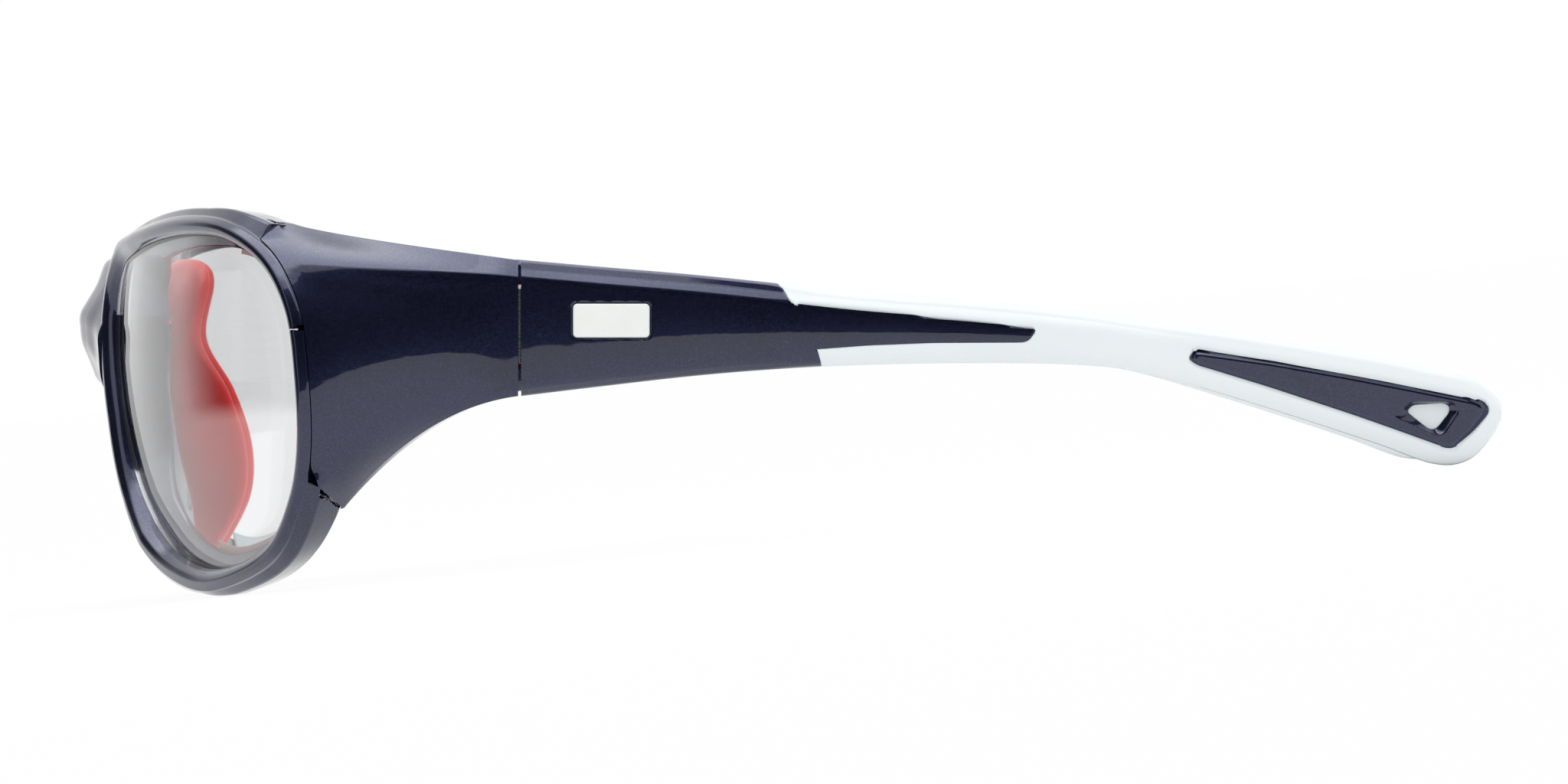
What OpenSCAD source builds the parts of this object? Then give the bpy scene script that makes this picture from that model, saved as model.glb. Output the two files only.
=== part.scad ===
// Sports goggles with wrapped lenses: a front, two lenses, silicone pads, two screwed endpieces
// and two hinged temples with a soft grip and a strap slot in each tip. All sizes in mm.
// Worn frame: +X is the wearer's left, +Y goes back from the bridge, +Z is up.
// Every node is turned at the end so that the goggles stand on their rims and temple tips.

/* [Lenses] */
// Width of one lens opening
lens_w = 49.8; // [47:0.1:53]
// Height of one lens opening
lens_h = 38.6; // [35:0.1:41]
// Thickness of the lens
lens_t = 2; // [1.8:0.1:2.6]
// Depth of the groove that holds the lens edge
groove_d = 0.8; // [0.6:0.1:1]
// Play between lens and groove
lens_play = 0.04; // [0.02:0.01:0.08]

/* [Front] */
// Distance between the two lens openings at the nose
bridge_gap = 20; // [18:0.1:24]
// Radius of the wrap that both lenses lie on
wrap_r = 95; // [88:0.5:110]
// Lean of the front, its bottom edge towards the cheeks, in degrees
lean = 7; // [4:0.5:9]
// Width of the raised ring round a lens
ring_w = 2.2; // [2:0.1:2.6]
// Width of the whole rim
rim_w = 3.5; // [3.2:0.1:4.2]
// Depth of the rim behind the front face of the lens
rim_depth = 4.6; // [4.4:0.1:5.6]
// Height of the ring above the lens at the temple side
ring_rise = 1.3; // [1:0.1:1.6]
// Thickness of the bridge between the rims
bridge_t = 4.6; // [4:0.1:5.4]
// Height of the bridge at its middle
bridge_h = 15.2; // [14:0.1:16]

/* [Endpieces] */
// Length of an endpiece from the lens edge back to the hinge seam
end_len = 25.3; // [23:0.1:29]
// Height of the endpiece at the hinge seam
end_h = 15.7; // [14.5:0.1:17]
// Thickness of endpiece and temple at the hinge seam
end_t = 5; // [4.6:0.1:6]
// Distance from the lens edge out to the outer face at the hinge seam
flare = 9; // [8:0.1:10]
// Height of the long bevel along the upper edge
bevel_h = 2.1; // [1.4:0.1:2.6]
// Diameter of the endpiece screws
end_screw_d = 1.4; // [1.2:0.1:1.6]
// Length of the endpiece screws with their heads
end_screw_len = 4; // [3.6:0.1:4.4]
// Diameter of the endpiece screw heads
end_head_d = 2; // [1.8:0.1:2.2]
// Gap between the endpiece and the rim it closes
seat_gap = 0.05; // [0.03:0.01:0.1]
// Gap of the split in the rim behind the endpiece
split_gap = 0.15; // [0.1:0.05:0.25]

/* [Temples] */
// Length of a temple from the hinge seam to the end of its tip
temple_len = 113; // [104:0.5:124]
// Thickness of the soft grip over the core
grip_t = 0.9; // [0.8:0.1:1.2]
// Length of the plain inlay on the outer face
inlay_l = 8.8; // [6:0.1:9.4]
// Height of the plain inlay
inlay_h = 3.9; // [3:0.1:5]
// Depth of the pocket for the inlay
inlay_pocket = 0.7; // [0.5:0.1:1]
// How far the inlay stands out of its pocket
inlay_proud = 0.15; // [0.1:0.05:0.3]
// Play round the inlay
inlay_play = 0.03; // [0.02:0.01:0.06]
// Length of the strap slot in the tip
slot_l = 4.8; // [4:0.1:5.2]
// Height of the strap slot in the tip
slot_h = 3; // [2.6:0.1:3.2]

/* [Hinges] */
// Height of the hinge over all its knuckles
hinge_h = 8.2; // [7:0.1:9]
// Outer diameter of the knuckles
knuckle_d = 2.8; // [2.6:0.1:3.2]
// Diameter of the hinge screw
pin_d = 1.4; // [1.2:0.1:1.6]
// Running clearance round the hinge screw, on the radius
pin_play = 0.03; // [0.02:0.01:0.05]
// Gap between one knuckle and the next
knuckle_gap = 0.1; // [0.08:0.01:0.15]
// Gap of the seam between endpiece and temple
seam_gap = 0.35; // [0.3:0.05:0.5]
// Thickness of a hinge leaf
leaf_t = 1; // [0.8:0.1:1.2]
// Length of a hinge leaf from the hinge axis
leaf_l = 8; // [7:0.1:10]
// Height of the hinge screw's head
pin_head_h = 0.7; // [0.5:0.1:0.9]
// Diameter of the hinge screw's head
pin_head_d = 2.4; // [2.2:0.1:2.6]

/* [Pads] */
// Thickness of the nose pad's wings
wing_t = 1.5; // [1.3:0.1:2]
// Depth of the soft liner behind the temple side of a rim
liner_depth = 1.4; // [1.2:0.1:2.4]
// Diameter of the studs that hold the nose pad in the bridge
stud_d = 2.2; // [1.8:0.1:2.6]
// Length of those studs inside the bridge
stud_l = 2; // [1.5:0.1:2.5]

/* [Hidden] */

navy = "#1b1d33";
clear_lens = "#dfe8ee";
red = "#d8403c";
milky = "#dfe3e6";
steel = "#b9bcc2";
white = "#eef3f5";

// The lens opening seen from the front, as shares of its width and height: nose side first,
// then over the top to the temple side and back under.
LENS_SHAPE = [[0, 0.249], [0.065, 0.396], [0.218, 0.448], [0.388, 0.482], [0.582, 0.5], [0.755, 0.484],
    [0.898, 0.404], [0.978, 0.267], [1, 0.093], [0.988, -0.101], [0.935, -0.264], [0.827, -0.409],
    [0.663, -0.484], [0.476, -0.5], [0.286, -0.422], [0.149, -0.262], [0.069, -0.039]];
STEPS = 3;
// Sections of the rim between which the endpiece takes the place of its outer wall.
SEAM_TOP = 17;
SEAM_LOW = 29;
lens_y = 3;
lens_mid_z = -1.1;
wrap_z = -2;
lean_z = 8;
// Share of the lean that is taken back at the nose, below the height turn_z.
nose_turn = 0.55;
turn_z = 14;

// Smooth curve from b to c, with a and d as its neighbours.
function curve(a, b, c, d, t) =
    0.5 * (2 * b + (c - a) * t + (2 * a - 5 * b + 4 * c - d) * t * t + (3 * b - a - 3 * c + d) * t * t * t);
function loop_curve(p, n) = let (m = len(p))
    [for (i = [0:m - 1], k = [0:n - 1])
        curve(p[(i + m - 1) % m], p[i], p[(i + 1) % m], p[(i + 2) % m], k / n)];
function open_curve(p, n) = let (m = len(p) - 1)
    [for (i = [0:m - 1], k = [0:(i == m - 1 ? n : n - 1)])
        curve(p[max(i - 1, 0)], p[i], p[i + 1], p[min(i + 2, m)], k / n)];
function unit(v) = v / norm(v);
function mix(a, b, t) = a + (b - a) * t;
function clamp01(t) = min(max(t, 0), 1);
function sum(v, i = 0) = i >= len(v) ? 0 : v[i] + sum(v, i + 1);

edge_x = bridge_gap / 2 + lens_w;

// The wrapped surface: a sphere that leans with the front, less so towards the nose.
function wrap_root(x, z) = sqrt(wrap_r * wrap_r - x * x - pow(z - wrap_z, 2));
function turned(x) = nose_turn * pow(1 - x / edge_x, 2);
function wrap_y(x, z) =
    lens_y + wrap_r - wrap_root(x, z) + tan(lean) * (lean_z - z - turned(x) * (turn_z - z));
function wrap_dx(x, z) =
    x / wrap_root(x, z) + tan(lean) * (turn_z - z) * 2 * nose_turn * (1 - x / edge_x) / edge_x;
function wrap_dz(x, z) = (z - wrap_z) / wrap_root(x, z) - tan(lean) * (1 - turned(x));

OPENING = [for (p = LENS_SHAPE) [bridge_gap / 2 + p[0] * lens_w, lens_mid_z + p[1] * lens_h]];
OUTLINE = loop_curve(OPENING, STEPS);
COUNT = len(OUTLINE);
LENS_MID = [bridge_gap / 2 + 0.52 * lens_w, lens_mid_z];

// A point near outline point i: d outwards along the wrap, h forwards off it. Between two outline
// points it lies on the straight line from one to the other.
function rim_point(i, d, h) = let (n = floor(i))
    n == i ? outline_point(n, d, h) : mix(outline_point(n, d, h), outline_point(n + 1, d, h), i - n);
function outline_point(i, d, h) = let (
    p = OUTLINE[i % COUNT],
    way = unit(OUTLINE[(i + 1) % COUNT] - OUTLINE[(i + COUNT - 1) % COUNT]),
    out = [-way[1], way[0]],
    fx = wrap_dx(p[0], p[1]),
    fz = wrap_dz(p[0], p[1]),
    side = unit([out[0], fx * out[0] + fz * out[1], out[1]]),
    front = unit([fx, -1, fz]))
    [p[0], wrap_y(p[0], p[1]), p[1]] + d * side + h * front;

// The ring rises further above the lens on its nose side, and under it.
EXTRA_RISE = [[0, 0.6], [3, -0.1], [8, -0.1], [16, 0], [30, 0], [34, 0.2], [38, 0.6], [43, 1.1], [48, 1.1],
    [51, 0.7]];
function ring_top(i) = ring_rise + lookup(i % COUNT, EXTRA_RISE);
// Width added to the rim where the brow runs into the endpiece and under the nose side.
EXTRA_W = [[0, 0], [3, -0.5], [8, -0.4], [13, -0.3], [15, 0.1], [16, 0.4], [17, 0.8], [29, 0.3], [30, 0.2],
    [34, -0.1], [37, 0], [39, -0.35], [41, 0.2], [44, 1], [47, 0.5], [51, 0]];
function full_wall(i) = rim_w + lookup(i % COUNT, EXTRA_W);
function seated(i, last) = i % COUNT >= SEAM_TOP && i % COUNT <= last;
// Depth added behind the rim under the endpiece and taken off below it, and depth added to the
// inner lip beside the nose.
EXTRA_DEPTH = [[0, 0], [28, 0], [30, 0.2], [31, 0], [33, -0.7], [36, -0.6], [39, 0], [51, 0]];
EXTRA_LIP = [[0, 1.4], [2, 1.5], [4, 1.4], [7, 0], [49, 0.1], [50, 0.8], [51, 1.4]];
function depth(i) = rim_depth + lookup(i % COUNT, EXTRA_DEPTH);
// 1 where a crease runs round the ring, 0 where the ring is as wide as the rim.
function crease(i) = lookup(i % COUNT, [[0, 0], [4, 0], [8, 1], [34, 1], [38, 0], [51, 0]]);
// Profile of the rim at a section: width and height of its points. The outer wall steps back for
// the endpiece, and the step slants: it lies further on at the back.
function rim_section(i) = let (
    c = ring_top(i),
    w = seated(i, SEAM_LOW) ? ring_w : full_wall(i),
    w_back = seated(i, SEAM_LOW + 1) ? ring_w : full_wall(i),
    back = -depth(i),
    lip = back - lookup(i % COUNT, EXTRA_LIP),
    k = crease(i))
    [for (q = [[0, 0], [0, c - 1], [0.3, c - 0.35], [0.9, c], [1.5, c - 0.05 * k],
        [ring_w - 0.1, c - 0.6 * k], [ring_w, c - 0.1 - 0.9 * k],
        [w - 0.35 * (1 - k) - 0.02, mix(c - 0.8, mix(c - 1.1, -0.4, (w - ring_w) / 1.4), k)],
        [w, mix(c - 2.2, -1.8, k)], [w_back, back + 0.4], [w_back - 0.5, back], [-0.9, lip],
        [-1.1, lip + 0.8],
        [0, -lens_t - lens_play - 0.4], [0, -lens_t - lens_play], [groove_d, -lens_t - lens_play],
        [groove_d, 0]]) rim_point(i, q[0], q[1])];
STEP_END = SEAM_LOW + 1.6;
RIM = [for (i = [0:COUNT - 1]) each i == floor(STEP_END) ? [rim_section(i), rim_section(STEP_END)]
    : [rim_section(i)]];

// Places at the hinge seam.
edge_y = wrap_y(edge_x, 0);
seam_y = edge_y + end_len;
outer_x = edge_x + flare;
inner_x = outer_x - end_t;
axis_x = inner_x - 0.1;
hinge_z = 7.45;
seam_low = hinge_z - end_h / 2;
seam_top = hinge_z + end_h / 2;

// The bridge between the rims: each row gives share of the reach, front, back, lowest and highest
// point. Towards the rims its top and bottom flare outwards by bridge_flare, and end inside them.
BRIDGE_ROWS = [[-1, 2.8, 7.4, -6, 16.4], [-0.7, 1.6, 6.6, -3, 16.2], [-0.36, 0, 5.3, -0.4, 15.7],
    [0, -0.7, 4.6, 0.4, 15.6], [0.36, 0, 5.3, -0.4, 15.7], [0.7, 1.6, 6.6, -3, 16.2],
    [1, 2.8, 7.4, -6, 16.4]];
bridge_reach = bridge_gap / 2 - 1.2;
bridge_flare = 2.2;
BRIDGE = [for (r = open_curve(BRIDGE_ROWS, 2)) let (
    y0 = r[1],
    y1 = r[2] + bridge_t - 4.6,
    z0 = r[3] - (bridge_h - 15.2) / 2,
    z1 = r[4] + (bridge_h - 15.2) / 2,
    h = z1 - z0)
    [for (q = [[0.8, 0], [0.42, 0.03], [0.25, 0.19], [0.06, 0.34], [0, 0.56], [0.21, 0.68], [0.4, 0.79],
        [0.58, 0.97], [0.8, 1], [1, 0.93], [1, 0.8], [1, 0.68], [1, 0.5], [1, 0.34], [1, 0.19], [1, 0.06]]) [
            r[0] * (bridge_reach + bridge_flare * pow(r[0], 4) * pow(2 * q[1] - 1, 4)),
            mix(y0, y1, q[0]), z0 + q[1] * h]]];

// Temple outline from the seam to the tip: share of the length, lowest, highest, outer face, inner face.
TEMPLE_ROWS = [[0, -0.4, 15.3, 0, 0], [0.081, 0.7, 14.5, 0.1, 0], [0.175, 1.9, 13.6, 0.2, 0.2],
    [0.261, 2.7, 12.6, 0.3, 0.5], [0.353, 3.2, 11.5, 0.3, 0.7], [0.459, 3.4, 10.6, 0.1, 0.6],
    [0.566, 3.2, 9.4, -0.4, 0], [0.644, 2.1, 8.1, -0.9, -0.5], [0.748, -1.3, 6.4, -1.8, -1.5],
    [0.868, -5.7, 4.1, -3.1, -2.8], [0.931, -8.2, 2.6, -3.9, -3.4], [0.966, -7.8, 1.7, -4.3, -3.6],
    [0.99, -5.2, 0.1, -4.6, -3.4], [1, -3.1, -1.3, -4.7, -3.3]];
ROWS = [for (r = open_curve(TEMPLE_ROWS, 2)) let (ease = clamp01(r[0] / 0.35), k = mix(end_h / 15.7, 1, ease))
    [along(r[0]), hinge_z + (r[1] - 7.45) * k, hinge_z + (r[2] - 7.45) * k,
        outer_x + r[3], mix(inner_x, outer_x - 4.4, ease) + r[4]]];

// Cross-section of a temple, drawn in by e: outer side from below, then inner side from above.
function temple_section(r, e) = let (
    low = r[1] + e,
    top = r[2] - e,
    h = top - low,
    bevel = min(bevel_h, h * 0.3),
    xo = r[3] - e,
    xi = r[4] + e,
    cut = min(0.24 * (xo - xi), 1.2))
    [for (q = [[xo - cut, low], [xo, low + min(1, h * 0.2)], [xo + 0.25, (low + top) / 2], [xo, top - bevel],
        [xo - cut, top], [xi + 0.5, top], [xi, top - min(0.8, h * 0.2)], [xi, (low + top) / 2],
        [xi, low + min(0.8, h * 0.2)], [xi + 0.5, low]]) [q[0], r[0], q[1]]];

// Resting place: the line from the rims' lowest point to the tips' lowest point becomes the ground.
RIM_LOW = min([for (s = RIM, p = s) p[2]]);
RIM_FOOT = [for (s = RIM, p = s) if (p[2] < RIM_LOW + 0.01) p][0];
TIP_LOW = min([for (r = ROWS) r[1]]);
TIP_FOOT = [for (r = ROWS) if (r[1] < TIP_LOW + 0.01) r][0];
pitch = atan2(TIP_FOOT[1] - RIM_FOOT[2], TIP_FOOT[0] - RIM_FOOT[1]);
function rested(y, z) = [y * cos(pitch) + z * sin(pitch), z * cos(pitch) - y * sin(pitch)];
REST_POINTS = concat([for (s = RIM, p = s) rested(p[1], p[2])], [for (s = BRIDGE, p = s) rested(p[1], p[2])],
    [for (r = ROWS, z = [r[1], (r[1] + r[2]) / 2, r[2]]) rested(r[0], z)]);
rest_y = (min([for (p = REST_POINTS) p[0]]) + max([for (p = REST_POINTS) p[0]])) / 2;
rest_z = min([for (p = REST_POINTS) p[1]]);

module rest() {
    translate([0, -rest_y, -rest_z]) rotate([-pitch, 0, 0]) children();
}

module other_side() {
    mirror([1, 0, 0]) children();
}

// Solid through a list of equal loops. Its ends are closed across, from the first half of a loop
// to the second.
function volume6(p, f) = sum([for (t = f) p[t[0]] * cross(p[t[1]], p[t[2]])]);
module loft(loops, ring = false) {
    n = len(loops);
    m = len(loops[0]);
    points = [for (s = loops, p = s) p];
    sides = [for (i = [0:(ring ? n - 1 : n - 2)], k = [0:m - 1]) let (
        a = i * m + k,
        b = i * m + (k + 1) % m,
        c = ((i + 1) % n) * m + (k + 1) % m,
        d = ((i + 1) % n) * m + k) each [[a, b, c], [a, c, d]]];
    ends = ring ? [] : [for (k = [0:floor((m - 1) / 2) - 1], o = [0, (n - 1) * m]) let (
        a = o + k,
        b = o + k + 1,
        c = o + m - 2 - k,
        d = o + m - 1 - k,
        quad = b == c ? [[a, b, d]] : [[a, b, c], [a, c, d]])
        each (o > 0 ? quad : [for (t = quad) [t[0], t[2], t[1]]])];
    faces = concat(sides, ends);
    out = volume6(points, faces) < 0 ? faces : [for (f = faces) [f[2], f[1], f[0]]];
    polyhedron(points = points, faces = out, convexity = 8);
}

// A bar along X whose shape is drawn in Y and Z.
module side_bar(x0, x1) {
    translate([x0, 0, 0]) rotate([90, 0, 90]) linear_extrude(x1 - x0) children();
}

// Shapes of the temple's parts seen from the side: share of the temple's length, and Z.
function along(share) = seam_y + seam_gap / 2 + share * (temple_len - seam_gap / 2);
FRONT_SHAPE = [[-0.1, -20], [0.307, -20], [0.3064, 3], [0.301, 5], [0.281, 10.1], [0.274, 10.5],
    [0.2665, 12.1],
    [0.261, 12.5], [0.259, 30], [-0.1, 30]];
TONGUE = [[0.27, 7.5], [0.278, 10.35], [0.4, 9], [0.522, 7.5], [0.5245, 7.1], [0.516, 5.75], [0.42, 5.7],
    [0.353, 5.4], [0.295, 4.9]];
TIP_PANEL = [[0.685, 5.3], [0.7675, 4], [0.847, 2.4], [0.92, 0.8], [0.981, -0.6], [0.989, -1.6],
    [0.986, -2.8], [0.972, -4.8], [0.952, -6.8], [0.944, -6.8], [0.9, -5], [0.847, -2.9], [0.761, 0.3],
    [0.703, 2.3], [0.688, 2.8], [0.679, 3.7]];
// Strap slot: its three corners from its middle, in mm along the temple and up, at the size
// slot_size, and where its middle lies: share of the temple's length, and Z.
SLOT_CORNERS = [[-1.73, 0.5], [1.67, 0.65], [0.49, -1]];
SLOT_AT = [0.925, -2.6];
slot_size = [4.8, 3];
slot_r = 0.7;

module side_shape(list) {
    polygon([for (p = list) [along(p[0]), p[1]]]);
}

module strap_hole() {
    side_bar(outer_x - 14, outer_x + 4) translate([along(SLOT_AT[0]), SLOT_AT[1]])
        hull() for (p = SLOT_CORNERS)
            translate([p[0] * slot_l / slot_size[0], p[1] * slot_h / slot_size[1]]) circle(slot_r, $fn = 24);
}

module sided(s) {
    if (s > 0) children();
    else mirror([1, 0, 0]) children();
}

module front_frame() {
    difference() {
        color(navy) union() {
            loft(RIM, true);
            other_side() loft(RIM, true);
            loft(BRIDGE);
        }
        for (s = [-1, 1]) stud_place(s) translate([0, 0, -1.5])
            cylinder(h = stud_l + 1.6, d = stud_d + 0.06, $fn = 32);
        for (s = [-1, 1], i = SCREW_SECTIONS) screw_place(s, i) {
            translate([0, 0, -2]) cylinder(h = 8, d = end_screw_d + 0.1, $fn = 32);
            translate([0, 0, -2]) cylinder(h = 2.8, d = end_head_d + 0.2, $fn = 32);
        }
        // The rim is split at the temple side, so that it opens for the lens. The endpiece and its
        // two screws hold the split together.
        for (s = [-1, 1]) screw_place(s, SPLIT_SECTION) translate([0, 0, 0.5])
            cube([split_gap, 4 * rim_depth, 6], center = true);
    }
}

// Screws run outwards from the inside of the rim, behind the lens, into the endpiece.
SCREW_SECTIONS = [20, 27];
SPLIT_SECTION = 22;
module screw_place(s, i) {
    a = rim_point(i, 0, -rim_depth + 1.35);
    b = rim_point(i, 1, -rim_depth + 1.35);
    way = b - a;
    sided(s) translate(a) rotate([0, acos(way[2] / norm(way)), atan2(way[1], way[0])]) children();
}

module endpiece_screws() {
    color(steel) for (s = [-1, 1], i = SCREW_SECTIONS) screw_place(s, i) difference() {
        union() {
            translate([0, 0, 0.2]) cylinder(h = end_screw_len, d = end_screw_d, $fn = 32);
            translate([0, 0, 0.1]) cylinder(h = 0.7, d = end_head_d, $fn = 32);
        }
        cylinder(h = 0.45, d = 0.8, $fn = 6);
    }
}

// The lens: front and back faces follow the wrap, its edge sits in the groove.
function lens_point(i, share, h) = let (
    e = rim_point(i, groove_d - lens_play, h),
    p = mix([LENS_MID[0], LENS_MID[1]], [e[0], e[2]], share),
    flat = [p[0], wrap_y(p[0], p[1]), p[1]],
    front = unit([wrap_dx(p[0], p[1]), -1, wrap_dz(p[0], p[1])]))
    share > 0.99 ? e : flat + h * front;
module left_lens() {
    shares = [0.12, 0.4, 0.7, 1];
    faces = concat([for (k = shares) [k, -lens_play]], [for (k = [3:-1:0]) [shares[k], -lens_t]]);
    color(clear_lens) loft([for (q = faces) [for (i = [0:COUNT - 1]) lens_point(i, q[0], q[1])]]);
}

// The endpiece: its front edge follows the rim's outer wall, its back edge is the hinge seam.
SEAM = concat([STEP_END], [for (i = [SEAM_LOW + 1:-1:SEAM_TOP - 1]) i]);
function seat_d(i, last) =
    seat_gap * (i > SEAM_LOW + 1 ? 2.5 : 1) + (seated(i, last) ? ring_w : full_wall(i));
function seat_h(i) = i > SEAM_LOW + 1 ? 0.6 - depth(i) : seated(i, SEAM_LOW) ? ring_top(i) - 1 : -1.8;
function leave(v) = unit([mix(0.2, 0.35, v), 1, mix(1.19, -0.3, pow(v, 0.8))]);
function arrive(v) = unit([0.03, 1, mix(0.13, -0.14, v)]);
function bend(a, la, b, lb, s) = pow(1 - s, 3) * a + 3 * pow(1 - s, 2) * s * (a + la)
    + 3 * (1 - s) * s * s * (b - lb) + pow(s, 3) * b;
function end_outer(k, s) = let (
    v = k / (len(SEAM) - 1),
    i = SEAM[k],
    a = rim_point(i, seat_d(i, SEAM_LOW), seat_h(i)),
    top_in = clamp01((v - 1 + bevel_h / end_h) / (bevel_h / end_h)),
    low_in = clamp01((0.07 - v) / 0.07),
    crown = 0.25 * (1 - pow(2 * v - 1, 2)),
    b = [outer_x - 1.2 * max(top_in, low_in) + crown, seam_y - seam_gap / 2, mix(seam_low, seam_top, v)])
    bend(a, leave(v) * 8, b, arrive(v) * 9, s);
function end_inner(k, s) = let (
    v = k / (len(SEAM) - 1),
    i = SEAM[k],
    top = v > 0.99 ? 1 : 0,
    a = rim_point(i, seat_d(i, SEAM_LOW + 1), top > 0 ? -3 : -depth(i) - 0.2),
    b = [inner_x + 0.5 * (v < 0.05 || v > 0.95 ? 1 : 0), seam_y - seam_gap / 2,
        mix(seam_low, seam_top - 0.4 * top, v)])
    bend(a, leave(v) * 6 - [0, 0, 0.6 * top], b, arrive(v) * 9, s);
END_LOOPS = [for (s = [0, 0.12, 0.25, 0.38, 0.5, 0.62, 0.74, 0.86, 0.94, 1]) concat(
    [for (k = [0:len(SEAM) - 1]) end_outer(k, s)], [for (k = [len(SEAM) - 1:-1:0]) end_inner(k, s)])];

module left_endpiece() {
    difference() {
        color(navy) loft(END_LOOPS);
        for (i = SCREW_SECTIONS) screw_place(1, i)
            cylinder(h = end_screw_len + 0.5, d = end_screw_d + 0.06, $fn = 32);
        hinge_place() {
            cylinder(h = hinge_h + 2.4, d = knuckle_d + 0.7, center = true, $fn = 48);
            leaf_space(-1, 0.04);
        }
    }
}

// Hinge: axis along Z at the inner face of the seam. The front leaf has the outer knuckles.
module hinge_place() {
    translate([axis_x, seam_y, hinge_z]) children();
}

// Flat part of a leaf, let into the inner face; way is -1 forwards and 1 backwards.
module leaf_space(way, gap) {
    translate([-knuckle_d, way > 0 ? 0 : -leaf_l - gap, -hinge_h / 2 - gap])
        cube([knuckle_d + leaf_t / 2 + gap, leaf_l + gap, hinge_h + 2 * gap]);
    leaf_anchor(way, gap);
}

// Foot of a leaf that is sunk into the plastic.
module leaf_anchor(way, gap) {
    translate([0, way > 0 ? leaf_l - 4 - gap : 1 - leaf_l - gap, -1.4 - gap])
        cube([leaf_t / 2 + 1.6 + gap, 3 + 2 * gap, 2.8 + 2 * gap]);
}

knuckle_h = (hinge_h - 2 * knuckle_gap) / 3;
module left_hinge_front_leaf() {
    hinge_place() color(steel) difference() {
        union() {
            for (s = [-1, 1]) translate([0, 0, s * (knuckle_h + knuckle_gap)])
                cylinder(h = knuckle_h, d = knuckle_d, center = true, $fn = 48);
            translate([-leaf_t / 2, -leaf_l, -hinge_h / 2]) cube([leaf_t, leaf_l, hinge_h]);
            leaf_anchor(-1, 0);
        }
        cylinder(h = knuckle_h + 2 * knuckle_gap, d = knuckle_d + 0.5, center = true, $fn = 48);
        cylinder(h = hinge_h + 2, d = pin_d + 2 * pin_play, center = true, $fn = 48);
    }
}

module left_hinge_temple_leaf() {
    hinge_place() color(steel) difference() {
        union() {
            cylinder(h = knuckle_h, d = knuckle_d, center = true, $fn = 48);
            translate([-leaf_t / 2, 0, -knuckle_h / 2]) cube([leaf_t, knuckle_d, knuckle_h]);
            translate([-leaf_t / 2, knuckle_d / 2 + 0.35, -hinge_h / 2])
                cube([leaf_t, leaf_l - knuckle_d / 2 - 0.35, hinge_h]);
            leaf_anchor(1, 0);
        }
        cylinder(h = hinge_h + 2, d = pin_d + 2 * pin_play, center = true, $fn = 48);
    }
}

module left_hinge_screw() {
    hinge_place() color(steel) difference() {
        union() {
            cylinder(h = hinge_h - 0.1, d = pin_d, center = true, $fn = 48);
            translate([0, 0, hinge_h / 2 + 0.02]) cylinder(h = pin_head_h, d = pin_head_d, $fn = 48);
            translate([0, 0, hinge_h / 2 - 0.2]) cylinder(h = 0.4, d = pin_d, $fn = 48);
        }
        translate([-2, -0.15, hinge_h / 2 + 0.02 + pin_head_h - 0.3]) cube([4, 0.3, 1]);
    }
}

module temple_full() {
    loft([for (r = ROWS) temple_section(r, 0)]);
}

module temple_core() {
    loft([for (r = ROWS) if (r[0] > along(0.2) && r[0] < along(0.97)) temple_section(r, grip_t)]);
}

module inlay_shape(grow) {
    translate([along(0.0918), hinge_z + 0.85]) offset(0.5 + grow, $fn = 32)
        square([inlay_l - 1, inlay_h - 1], center = true);
}

// Where the temple core shows: its whole front, a tongue on the outer face, and the tip round the slot.
module bare_parts() {
    side_bar(outer_x - 20, outer_x + 5) side_shape(FRONT_SHAPE);
    side_bar(outer_x - 2, outer_x + 5) side_shape(TONGUE);
    side_bar(outer_x - 20, outer_x + 5) side_shape(TIP_PANEL);
}

module left_temple_arm() {
    difference() {
        color(navy) union() {
            intersection() {
                temple_full();
                bare_parts();
            }
            temple_core();
        }
        strap_hole();
        hinge_place() {
            cylinder(h = hinge_h + 2.4, d = knuckle_d + 0.7, center = true, $fn = 48);
            leaf_space(1, 0.04);
        }
        side_bar(outer_x - inlay_pocket, outer_x + 5) inlay_shape(inlay_play);
    }
}

module left_temple_grip() {
    color(white) difference() {
        temple_full();
        bare_parts();
        temple_core();
    }
}

module left_inlay() {
    color(white) side_bar(outer_x - inlay_pocket + 0.02, outer_x + 0.35 + inlay_proud) inlay_shape(0);
}

// Soft liner along the back of the rim's temple half.
LINER_FIRST = 14;
LINER_LAST = 40;
function liner_section(i) = let (
    t = liner_depth * lookup(i, [[14, 0.2], [17, 1], [28, 1], [31, 0.35], [36, 0.35], [40, 0.2]]),
    h0 = -depth(i) - 0.08,
    inside = i > SEAM_TOP - 1 && i < SEAM_LOW + 2,
    d1 = inside ? ring_w - 0.4 : full_wall(i) - 1.3,
    d0 = -1.7)
    [for (q = [[d1 - 0.2, h0], [d1, h0 - 0.35 * t], [d1 - 0.15, h0 - 0.75 * t], [d1 - 0.5, h0 - t],
        [d0 + 0.4, h0 - t], [d0 + 0.1, h0 - 0.75 * t], [d0, h0 - 0.35 * t], [d0 + 0.5, h0]])
        rim_point(i, q[0], q[1])];
module left_side_pad() {
    color(milky) loft([for (i = [LINER_FIRST:LINER_LAST]) liner_section(i)]);
}

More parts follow.
